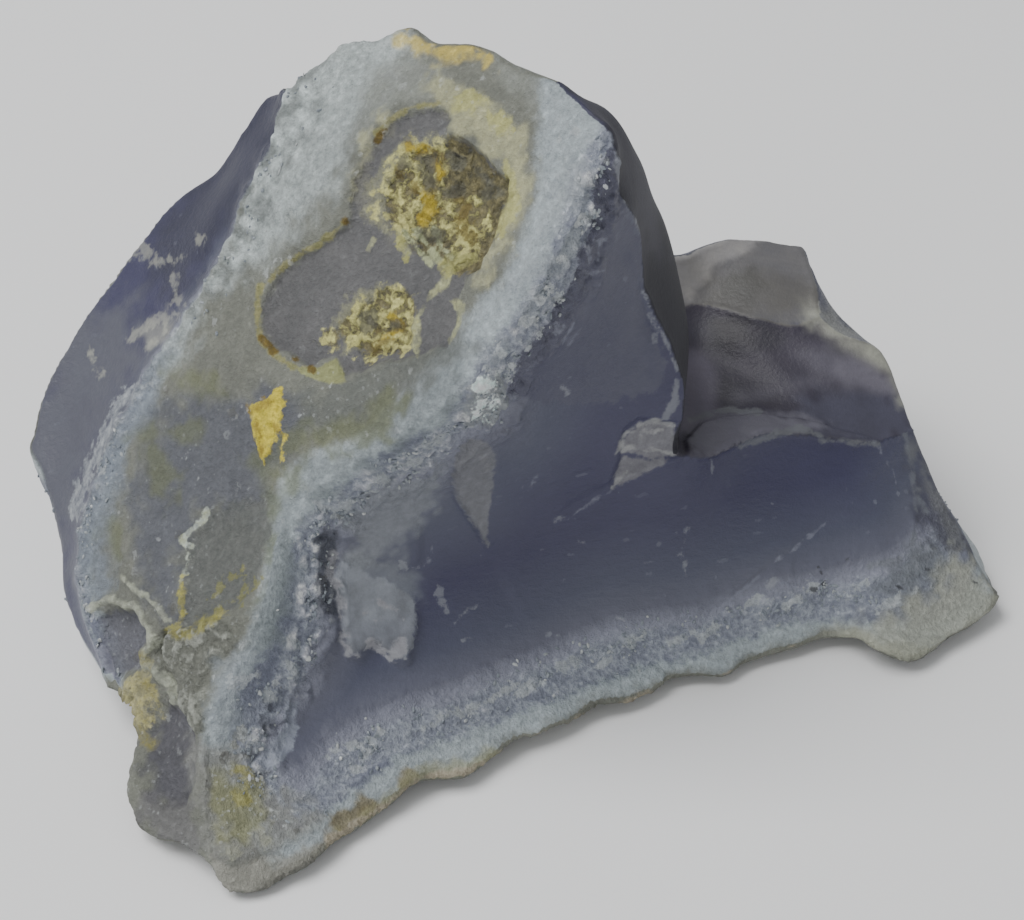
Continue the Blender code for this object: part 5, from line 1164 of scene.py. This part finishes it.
      (856, 352), (878, 384), (840, 392), (800, 392), (780, 376)]]),
    "light of the bowl": Tint(BOWL, ("#56535e", "#5e5b66"), 2.2, 0.2, 0.8, [[(796, 352), (826, 346),
      (860, 360), (886, 376), (884, 388), (850, 386), (816, 380)], (0.25, [(740, 398), (780, 390),
      (820, 378)])]),
    "right light of the bowl": Tint(BOWL, ("#6b6873", "#6a6772"), 1.2, 0.25, 0.85, [[(838, 358), (862, 360),
      (888, 378), (897, 394), (880, 394), (850, 386), (834, 374)]]),
    "painted shade under the shelf": Tint(BOWL, ("#231f27", "#242028"), 1.2, 0.3, 0.9, [[(714, 320), (732, 316),
      (748, 322), (750, 340), (734, 345), (718, 340)]]),
    "painted light on the bowl's foot": Tint(BOWL, ("#66616e", "#625e6c"), 1.6, 0.2, 0.95, [[(680, 356), (704, 352),
      (716, 366), (716, 410), (700, 424), (680, 434), (672, 400)]]),
    # Painted shade: the fold of the shelf is darkened where its slope would catch the light
    "painted shade on the shelf's fold": Tint(SHELF, ("#4b4a47", "#494846"), 1.2, 0.3, 0.9, [[(718, 292), (730, 272), (752, 266),
      (764, 284), (756, 304), (722, 304)]]),
    "lens edge": Tint(("bowl", "front_scoop"), ("#6e7174", "#62656b"), 0.3, 0.3, 0.7, [(0.25, [(740, 447),
      (770, 436), (800, 427), (820, 436)]), (0.2, [(820, 441), (850, 442), (878, 444)]), (0.2, [(690, 420),
      (720, 410), (760, 412)])]),
    "end streak": Tint(SCOOP, ("#71757b", "#666a72"), 0.4, 0.3, 0.7, [(0.15, [(905, 432), (912, 470),
      (917, 512)]), (0.2, [(917, 490), (920, 500), (926, 512)]), (0.2, [(914, 535), (912, 544)]),
      (0.35, [(915, 560), (930, 556)]), (0.3, [(870, 566), (900, 560)])]),
}


def reach_into(picture, patch, reaches):
    """How far in mm each place lies inside a patch: a mark's name, a stripe or an area."""
    if isinstance(patch, str):
        return reaches[patch]
    if isinstance(patch, tuple):
        return patch[0] - from_line(picture, patch[1])
    return into(picture, patch)


# The tints with soft edges are laid over each other here. Those with crisp edges are left to the material,
# where the ones that lie clear of each other share a layer, so that it has only a few to mix.
DRUSE_PALER = 1.2
FAR_OUT, FAR_IN = -9.0, 9.0
fuzz = 1.6 * fractal(places, 1.6, 4, 33)
PARTS = ("low", "high", "terms")
soft = {part: np.zeros((len(places), 3)) for part in PARTS}
layers = []
for tint in TINTS.values():
    low, high = (np.array(linear(colour)[:3]) for colour in tint.colours)
    reach = np.max([reach_into(picture, patch, reaches) for patch in tint.patches], axis=0)
    held = np.any([on[face] for face in tint.faces], axis=0)
    reach = np.clip(np.where(held, reach, -REACH), -REACH, REACH)
    if tint.fade >= SOFT:
        t = np.clip((reach + tint.fray * fuzz) / tint.fade + 0.5, 0, 1)
        laid = tint.cover * t * t * (3 - 2 * t) * held
        left = soft["terms"][:, 1] * (1 - laid)
        share = (laid / np.maximum(laid + left, 1e-6))[:, None]
        soft["low"] += share * (low - soft["low"])
        soft["high"] += share * (high - soft["high"])
        soft["terms"][:, 2] += share[:, 0] * (NOISE_OF[tint.by] - soft["terms"][:, 2])
        soft["terms"][:, 1] = laid + left
        continue
    margin = reach + tint.fade / 2 + 0.8 * tint.fray + FINE
    under = [number for number, layer in enumerate(layers) if np.any((layer["margin"] > 0) & (margin > 0))]
    number = max(under, default=-1) + 1
    if number == len(layers):
        layers.append({"margin": np.full(len(places), -2 * REACH), "reach": np.full(len(places), FAR_OUT),
                       **{part: np.zeros((len(places), 3)) for part in PARTS}})
    layer = layers[number]
    owned = margin > layer["margin"]
    layer["margin"][owned] = margin[owned]
    layer["reach"][owned] = (reach / tint.fade)[owned]
    layer["low"][owned], layer["high"][owned] = low, high
    layer["terms"][owned] = tint.fray / tint.fade, tint.cover, NOISE_OF[tint.by]
for part in ("low", "high"):
    soft[part] *= np.clip(1 + DRUSE_PALER * studded, 0.5, 1.4)[:, None]
layers.insert(0, {"reach": np.full(len(places), FAR_IN), **soft})

# The stone itself: one closed skin of blue-grey chalcedony, unpolished, waxy on the fresh breaks and dull
# where it is weathered. Each place keeps its layers and its tints as values that the material reads.
mesh = bpy.data.meshes.new("agate_stone")
mesh.from_pydata((places * MM).tolist(), [], triangles.tolist())
middle = (places.min(axis=0) + places.max(axis=0)) / 2 * (1, 1, 0)
mesh.vertices.foreach_set("co", ((places - middle) * MM).ravel())
mesh.shade_smooth()
for name, values in veins.items():
    mesh.attributes.new(name, "FLOAT", "POINT").data.foreach_set("value", values.astype(np.float32))
for number, layer in enumerate(layers):
    reach = mesh.attributes.new(f"reach {number}", "FLOAT", "POINT")
    reach.data.foreach_set("value", layer["reach"].astype(np.float32))
    for part in PARTS:
        held = mesh.attributes.new(f"{part} {number}", "FLOAT_VECTOR", "POINT")
        held.data.foreach_set("vector", layer[part].astype(np.float32).ravel())
stone = bpy.data.objects.new("agate_stone", mesh)
bpy.context.scene.collection.objects.link(stone)


def put(tree, kind, inputs=None, stops=(), **settings):
    """Adds a node with its settings, and fills or links its inputs. A ramp's stops are (place, colour)."""
    node = tree.nodes.new(kind)
    for name, value in settings.items():
        setattr(node, name, value)
    for number, (place, colour) in enumerate(stops):
        element = node.color_ramp.elements[number] if number < 2 else node.color_ramp.elements.new(place)
        element.position, element.color = place, linear(colour)
    for socket, value in (inputs or {}).items():
        if isinstance(value, bpy.types.NodeSocket):
            tree.links.new(value, node.inputs[socket])
        else:
            node.inputs[socket].default_value = value
    return node


# Chalcedony is fibrous quartz too fine to see. It breaks smooth with a waxy gloss and shows its bands as soft
# changes of colour; where it is weathered it turns paler, greyer and dull.
material = bpy.data.materials.new("blue-grey chalcedony, broken and unpolished")
material.use_nodes = True
tree = material.node_tree
shader = tree.nodes["Principled BSDF"]
coords = put(tree, "ShaderNodeTexCoord").outputs["Object"]
# Patterns of the stone: (size in mm, detail, how rough, least and most that stand for 0 and 1). Swells of the
# growing vein, mottling, frayed edges, grit of the weathered skin, sugary quartz, and crumbly crust.
NOISES = {
    "swell": (9.0, 3, 0.5, 0.3, 0.7), "mottle": (2.6, 5, 0.6, 0.32, 0.68),
    "fray": (1.1, 5, 0.65, 0.5, 0.75), "grit": (0.45, 4, 0.7, 0.36, 0.64),
    "sugar": (0.8, 5, 0.75, 0.35, 0.65), "crust": (1.3, 6, 0.75, 0.3, 0.7),
}
noises = {}
for name, (size, detail, rough, least, most) in NOISES.items():
    found = put(tree, "ShaderNodeTexNoise", {"Vector": coords, "Scale": 1 / (size * MM),
                                             "Detail": float(detail), "Roughness": rough})
    noises[name] = put(tree, "ShaderNodeMapRange", {"Value": found.outputs[0], "From Min": least,
                                                    "From Max": most}, clamp=name != "fray").outputs["Result"]
values = {name: put(tree, "ShaderNodeAttribute", attribute_name=name).outputs["Fac"] for name in veins}

# The quartz is dark between its blocks and white on their tops; the core darkens with its depth
blocky = put(tree, "ShaderNodeMath", {0: noises["grit"], 1: 0.34, 2: values["block"]},
             operation="MULTIPLY_ADD").outputs[0]
blocky = put(tree, "ShaderNodeMapRange", {"Value": blocky, "From Min": 0.13, "From Max": 1.2}).outputs[0]
deep = put(tree, "ShaderNodeMapRange", {"Value": values["core"], "From Max": CORE_REACH}).outputs[0]
# Each layer: what its colours follow, those colours, and over how many mm its edge is frayed and fades
BANDS = {
    "skin": (noises["mottle"], ((0.0, "#696b63"), (1.0, "#7b7d73")), None, None),
    "light": (noises["sugar"], ((0.0, "#8f989c"), (1.0, "#afb9bd")), 0.5, 1.4),
    "quartz": (blocky, ((0.0, "#6a6f7f"), (0.3, "#7e8390"), (0.55, "#9197a1"), (0.8, "#aaacb4"),
                        (1.0, "#cdcfcf")), 0.6, 1.0),
    "core": (deep, ((0.0, "#8e919f"), (0.2, "#5c5e6c"), (0.5, "#494c5e"), (1.0, "#373752")), 0.6, 1.1),
}
within = {}
for name, (factor, stops, fray, fade) in BANDS.items():
    shade = put(tree, "ShaderNodeValToRGB", {"Fac": factor}, stops=stops).outputs["Color"]
    if name == "skin":
        colour = shade
        continue
    pushed = put(tree, "ShaderNodeMath", {0: noises["fray"], 1: fray, 2: values[name]},
                 operation="MULTIPLY_ADD").outputs[0]
    edge = {"Value": pushed, "From Min": -fade / 2, "From Max": fade / 2}
    within[name] = put(tree, "ShaderNodeMapRange", edge, interpolation_type="SMOOTHSTEP").outputs[0]
    colour = put(tree, "ShaderNodeMix", {0: within[name], 6: colour, 7: shade}, data_type="RGBA").outputs[2]

# The lace of crust is crumbly, and thickest where the relief has its plates
lace = put(tree, "ShaderNodeMath", {0: values["crust"], 1: 0.9, 2: noises["crust"]},
           operation="MULTIPLY_ADD").outputs[0]
lace = put(tree, "ShaderNodeMapRange", {"Value": lace, "From Min": 0.34, "From Max": 0.66}).outputs[0]
# The tints: each covers what is below it as far as its frayed edge, and a crust only where its lace is
for number in range(len(layers)):
    parts = {part: put(tree, "ShaderNodeAttribute", attribute_name=f"{part} {number}").outputs
             for part in ("reach", *PARTS)}
    fray, cover, by = put(tree, "ShaderNodeSeparateColor", {0: parts["terms"]["Color"]}).outputs
    pushed = put(tree, "ShaderNodeMath", {0: noises["fray"], 1: fray, 2: parts["reach"]["Fac"]},
                 operation="MULTIPLY_ADD").outputs[0]
    laid = put(tree, "ShaderNodeMapRange", {"Value": pushed, "From Min": -0.5, "From Max": 0.5},
               interpolation_type="SMOOTHSTEP").outputs[0]
    laid = put(tree, "ShaderNodeMath", {0: laid, 1: cover}, operation="MULTIPLY").outputs[0]
    crusted = put(tree, "ShaderNodeMapRange", {"Value": by, "From Min": 1.0, "From Max": 2.0}).outputs[0]
    bared = put(tree, "ShaderNodeMix", {0: crusted, 2: 1.0, 3: lace}, data_type="FLOAT").outputs[0]
    laid = put(tree, "ShaderNodeMath", {0: laid, 1: bared}, operation="MULTIPLY").outputs[0]
    grainy = put(tree, "ShaderNodeMix", {0: by, 2: noises["mottle"], 3: noises["sugar"]},
                 data_type="FLOAT").outputs[0]
    above = put(tree, "ShaderNodeMix", {0: grainy, 6: parts["low"]["Color"], 7: parts["high"]["Color"]},
                data_type="RGBA").outputs[2]
    colour = put(tree, "ShaderNodeMix", {0: laid, 6: colour, 7: above}, data_type="RGBA").outputs[2]

# Hackles: faint streaks over the fresh breaks, all running much the same way, 5 mm long and 0.5 mm apart
HACKLE_LONG, HACKLE_APART = 5.0, 0.5
turned = put(tree, "ShaderNodeMapping", {
    "Vector": coords, "Rotation": (0.3, 0.0, -0.45),
    "Scale": (1 / (HACKLE_LONG * MM), 1 / (HACKLE_APART * MM), 1 / (HACKLE_APART * MM))}).outputs[0]
streak = put(tree, "ShaderNodeTexNoise", {"Vector": turned, "Scale": 1.0, "Detail": 5.0,
                                          "Roughness": 0.65}).outputs[0]
# Spots: (size in mm of the cell each lies in, share of cells that hold one, colour, cover, where they are).
# The scuffs are drawn out along the hackles.
SPOTS = {
    "white bruises": (1.1, 0.3, "#b4b8b8", 0.55, "speckled"),
    "white grain": (0.4, 0.4, "#a9adad", 0.4, "speckled"),
    "dark pits": (1.5, 0.16, "#4b4a44", 0.7, "speckled"),
    "nicks": (0.7, 0.05, "#8a8e99", 0.3, "scuffed"),
    "scuffs": (None, 0.1, "#747886", 0.28, "scuffed"),
}
for size, share, shade, cover, mask in SPOTS.values():
    field = {"Vector": coords, "Scale": 1 / (size * MM)} if size else {"Vector": turned, "Scale": 1.0}
    cells = put(tree, "ShaderNodeTexVoronoi", field).outputs
    chance = put(tree, "ShaderNodeSeparateColor", {0: cells["Color"]}).outputs[0]
    radius = put(tree, "ShaderNodeMapRange", {"Value": chance, "From Min": 1 - share, "To Min": -0.3,
                                              "To Max": 0.25}).outputs[0]
    ragged = put(tree, "ShaderNodeMath", {0: noises["grit"], 1: 0.35, 2: radius},
                 operation="MULTIPLY_ADD").outputs[0]
    shown = put(tree, "ShaderNodeMath", {0: ragged, 1: cells["Distance"]}, operation="SUBTRACT").outputs[0]
    shown = put(tree, "ShaderNodeMapRange", {"Value": shown, "From Max": 0.1, "To Max": cover}).outputs[0]
    shown = put(tree, "ShaderNodeMath", {0: shown, 1: values[mask]}, operation="MULTIPLY").outputs[0]
    colour = put(tree, "ShaderNodeMix", {0: shown, 6: colour, 7: linear(shade)}, data_type="RGBA").outputs[2]

# Weathered stone is uneven in tone, a fresh break is streaked by its hackles
uneven = put(tree, "ShaderNodeMath", {0: noises["grit"], 1: 0.3, 2: 0.74},
             operation="MULTIPLY_ADD").outputs[0]
uneven = put(tree, "ShaderNodeMath", {0: noises["swell"], 1: 0.22, 2: uneven},
             operation="MULTIPLY_ADD").outputs[0]
smooth = put(tree, "ShaderNodeMath", {0: streak, 1: 0.3, 2: 0.85}, operation="MULTIPLY_ADD").outputs[0]
tone = put(tree, "ShaderNodeMix", {0: values["weathered"], 2: smooth, 3: uneven},
           data_type="FLOAT").outputs[0]
colour = put(tree, "ShaderNodeHueSaturation", {"Value": tone, "Color": colour}).outputs[0]
tree.links.new(colour, shader.inputs["Base Color"])
# The skin is dull, the chalcedony inside it waxy, and the tower's narrow side matt again
rough = put(tree, "ShaderNodeMapRange", {"Value": within["light"], "To Min": 0.62, "To Max": 0.46}).outputs[0]
rough = put(tree, "ShaderNodeMath", {0: values["matt"], 1: 0.22, 2: rough},
            operation="MULTIPLY_ADD").outputs[0]
tree.links.new(rough, shader.inputs["Roughness"])
QUARTZ_IOR = 1.54
shader.inputs["IOR"].default_value = QUARTZ_IOR
# The finest relief, 0.18 mm deep: grit of the weathered skin, hackles of the breaks, crumbs of the crust
drawn = put(tree, "ShaderNodeMath", {0: streak, 1: values["scuffed"]}, operation="MULTIPLY").outputs[0]
grain = put(tree, "ShaderNodeMix", {0: values["weathered"], 2: drawn, 3: noises["grit"]},
            data_type="FLOAT").outputs[0]
raised = put(tree, "ShaderNodeMath", {0: lace, 1: values["crusted"]}, operation="MULTIPLY").outputs[0]
height = put(tree, "ShaderNodeMath", {0: raised, 1: 1.4, 2: grain}, operation="MULTIPLY_ADD").outputs[0]
bumped = put(tree, "ShaderNodeBump", {"Height": height, "Strength": 0.8, "Distance": 0.18 * MM})
tree.links.new(bumped.outputs["Normal"], shader.inputs["Normal"])
mesh.materials.append(material)
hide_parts("agate")
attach(stone, "root")

# Quartz grains. Where the stone broke through its belt of sugary quartz, clear to white grains a quarter to
# half a millimetre across stand half out of the surface. They are sown in clumps, thickest along both rims of
# the wall, thinner along the foot, and not at the stone's right end.
GRAINS_PER_MM2 = 5.0
GRAIN_LEAST, GRAIN_MOST = 0.08, 0.3
GRAIN_SEED = 11
SOWN_END, SOWN_END_FADE = 860, 30

clumps = np.clip(fractal(places, 2.2, 4, 71) * 3.0 + 0.1, 0, 1)
sugar = np.clip(np.minimum(quartz + 0.3, 1.0 - core), 0, 1) * (on["front_scoop"] | on["vein_wall"])
left = np.exp(-((past_rim - 0.3) / 0.9) ** 2) * on["vein_wall"] * (picture[:, 1] > LEFT_BELT_TOP)
broken_sugar = 0.5 * np.clip(np.minimum(quartz, 1.0 - core), 0, 1) * broken
foot_sugar = 0.8 * np.clip(1.4 - from_line(picture, FOOT_BELT), 0, 1) * on["front_scoop"]
druse = 0.8 * np.exp(-(past_rim / 2.2) ** 2) * on_wall * np.clip((340 - picture[:, 1]) / 40, 0, 1)
thick = np.clip(sugar + left + 0.45 * foot_sugar + broken_sugar + druse, 0, 1) * clumps
thick *= 1 - on["front_scoop"] * np.clip((picture[:, 0] - SOWN_END) / SOWN_END_FADE, 0, 1)
mesh.attributes.new("grain cover", "FLOAT", "POINT").data.foreach_set("value", thick.astype(np.float32))

# Broken quartz is glassy, and each grain is clear grey to white
grain_material = bpy.data.materials.new("clear to white quartz, broken grains")
grain_material.use_nodes = True
grain_tree = grain_material.node_tree
grain_shader = grain_tree.nodes["Principled BSDF"]
tone = put(grain_tree, "ShaderNodeAttribute", attribute_name="tone").outputs["Fac"]
shade = put(grain_tree, "ShaderNodeValToRGB", {"Fac": tone}, stops=(
    (0.0, "#6f767e"), (0.45, "#858c92"), (0.8, "#989da0"), (1.0, "#b6b9b8"))).outputs["Color"]
grain_tree.links.new(shade, grain_shader.inputs["Base Color"])
grain_shader.inputs["Roughness"].default_value = 0.3
grain_shader.inputs["IOR"].default_value = QUARTZ_IOR

sowing = bpy.data.node_groups.new("grains sown over a broken surface", "GeometryNodeTree")
for name, kind in (("Geometry", "NodeSocketGeometry"), ("Grains per m2", "NodeSocketFloat"),
                   ("Least", "NodeSocketFloat"), ("Most", "NodeSocketFloat"), ("Seed", "NodeSocketInt")):
    sowing.interface.new_socket(name, in_out="INPUT", socket_type=kind)
sowing.interface.new_socket("Geometry", in_out="OUTPUT", socket_type="NodeSocketGeometry")
given = put(sowing, "NodeGroupInput").outputs
cover = put(sowing, "GeometryNodeInputNamedAttribute", {"Name": "grain cover"}, data_type="FLOAT").outputs[0]
thickness = put(sowing, "ShaderNodeMath", {0: cover, 1: given["Grains per m2"]},
                operation="MULTIPLY").outputs[0]
sown = put(sowing, "GeometryNodeDistributePointsOnFaces", {
    "Mesh": given["Geometry"], "Density": thickness, "Seed": given["Seed"]}, distribute_method="RANDOM")
chip = put(sowing, "GeometryNodeMeshIcoSphere", {"Radius": 1.0, "Subdivisions": 1}).outputs["Mesh"]
size = put(sowing, "FunctionNodeRandomValue", {2: given["Least"], 3: given["Most"], "Seed": 3},
           data_type="FLOAT").outputs[1]
stretch = put(sowing, "FunctionNodeRandomValue", {0: (0.6, 0.5, 0.3), 1: (1.3, 0.9, 0.6), "Seed": 4},
              data_type="FLOAT_VECTOR").outputs[0]
scale = put(sowing, "ShaderNodeVectorMath", {0: stretch, "Scale": size}, operation="SCALE").outputs[0]
turn = put(sowing, "FunctionNodeRandomValue", {0: (0, 0, 0), 1: (6.28, 6.28, 6.28), "Seed": 5},
           data_type="FLOAT_VECTOR").outputs[0]
sprinkled = put(sowing, "GeometryNodeInstanceOnPoints", {
    "Points": sown.outputs["Points"], "Instance": chip, "Rotation": turn, "Scale": scale}).outputs[0]
random_tone = put(sowing, "FunctionNodeRandomValue", {2: 0.0, 3: 1.0, "Seed": 6},
                  data_type="FLOAT").outputs[1]
toned = put(sowing, "GeometryNodeStoreNamedAttribute", {
    "Geometry": sprinkled, "Name": "tone", "Value": random_tone},
    data_type="FLOAT", domain="INSTANCE").outputs[0]
whole = put(sowing, "GeometryNodeRealizeInstances", {"Geometry": toned}).outputs[0]
faced = put(sowing, "GeometryNodeSetMaterial", {"Geometry": whole, "Material": grain_material}).outputs[0]
put(sowing, "NodeGroupOutput", {"Geometry": faced})

bed = bpy.data.objects.new("grain_bed", mesh.copy())
bpy.context.scene.collection.objects.link(bed)
sower = bed.modifiers.new("grains", "NODES")
sower.node_group = sowing
inputs = {item.name: item.identifier for item in sowing.interface.items_tree if item.in_out == "INPUT"}
sower[inputs["Grains per m2"]] = GRAINS_PER_MM2 / MM**2
sower[inputs["Least"]] = GRAIN_LEAST * MM
sower[inputs["Most"]] = GRAIN_MOST * MM
sower[inputs["Seed"]] = GRAIN_SEED
bpy.context.view_layer.update()
grain_mesh = bpy.data.meshes.new_from_object(bed.evaluated_get(bpy.context.evaluated_depsgraph_get()))
bpy.data.objects.remove(bed)
grain_mesh.name = "quartz_grains"
grains = bpy.data.objects.new("quartz_grains", grain_mesh)
bpy.context.scene.collection.objects.link(grains)
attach(grains, "root")

# The table. A plain sheet of matt white paper, far wider than the stone, on which it rests.
TABLE_HALF = 3.0
table = bpy.data.meshes.new("table")
table.from_pydata([(-TABLE_HALF, -TABLE_HALF, 0), (TABLE_HALF, -TABLE_HALF, 0), (TABLE_HALF, TABLE_HALF, 0),
                   (-TABLE_HALF, TABLE_HALF, 0)], [], [(0, 1, 2, 3)])
table_object = bpy.data.objects.new("table", table)
bpy.context.scene.collection.objects.link(table_object)
table_material = bpy.data.materials.new("matt white paper")
table_material.use_nodes = True
paper = table_material.node_tree.nodes["Principled BSDF"]
paper.inputs["Base Color"].default_value = linear("#f4f4f4")
paper.inputs["Roughness"].default_value = 0.9
table.materials.append(table_material)

# The light. A broad soft box hangs above and to the left, a weak one fills from the front left, and a pale
# room lights the rest. Each lamp is aimed a little above the middle of the table.
LAMPS = {
    # name: (place in m, size in m, power in W)
    "overhead soft box": ((-0.40, -0.06, 0.80), 0.6, 7.5),
    "front fill": ((-0.25, -0.80, 0.35), 0.6, 1.4),
}
LAMP_AIM = Vector((0, 0, 0.02))
for name, (place, size, power) in LAMPS.items():
    lamp = bpy.data.lights.new(name, "AREA")
    lamp.size = size
    lamp.energy = power
    holder = bpy.data.objects.new(name, lamp)
    holder.location = place
    holder.rotation_euler = (LAMP_AIM - Vector(place)).to_track_quat("-Z", "Y").to_euler()
    bpy.context.scene.collection.objects.link(holder)
world = bpy.data.worlds.new("pale studio")
world.use_nodes = True
world.node_tree.nodes["Background"].inputs["Color"].default_value = linear("#eef0f2")
world.node_tree.nodes["Background"].inputs["Strength"].default_value = 0.45
bpy.context.scene.world = world

# The camera stands on the line of sight that the stone was measured along, at the distance and with the lens
# that make one pixel of the picture as many millimetres at the stone as was measured.
PICTURE_WIDTH = 1024
camera = bpy.data.cameras.new("camera")
camera.sensor_fit = "HORIZONTAL"
camera.sensor_width = 36.0
camera.lens = camera.sensor_width * SIGHT_DISTANCE / (PICTURE_WIDTH * MM_PER_PIXEL)
camera.clip_start = 0.01
eye = bpy.data.objects.new("camera", camera)
eye.location = (EYE - middle) * MM
eye.rotation_euler = Vector(FORWARD).to_track_quat("-Z", "Y").to_euler()
bpy.context.scene.collection.objects.link(eye)
bpy.context.scene.camera = eye
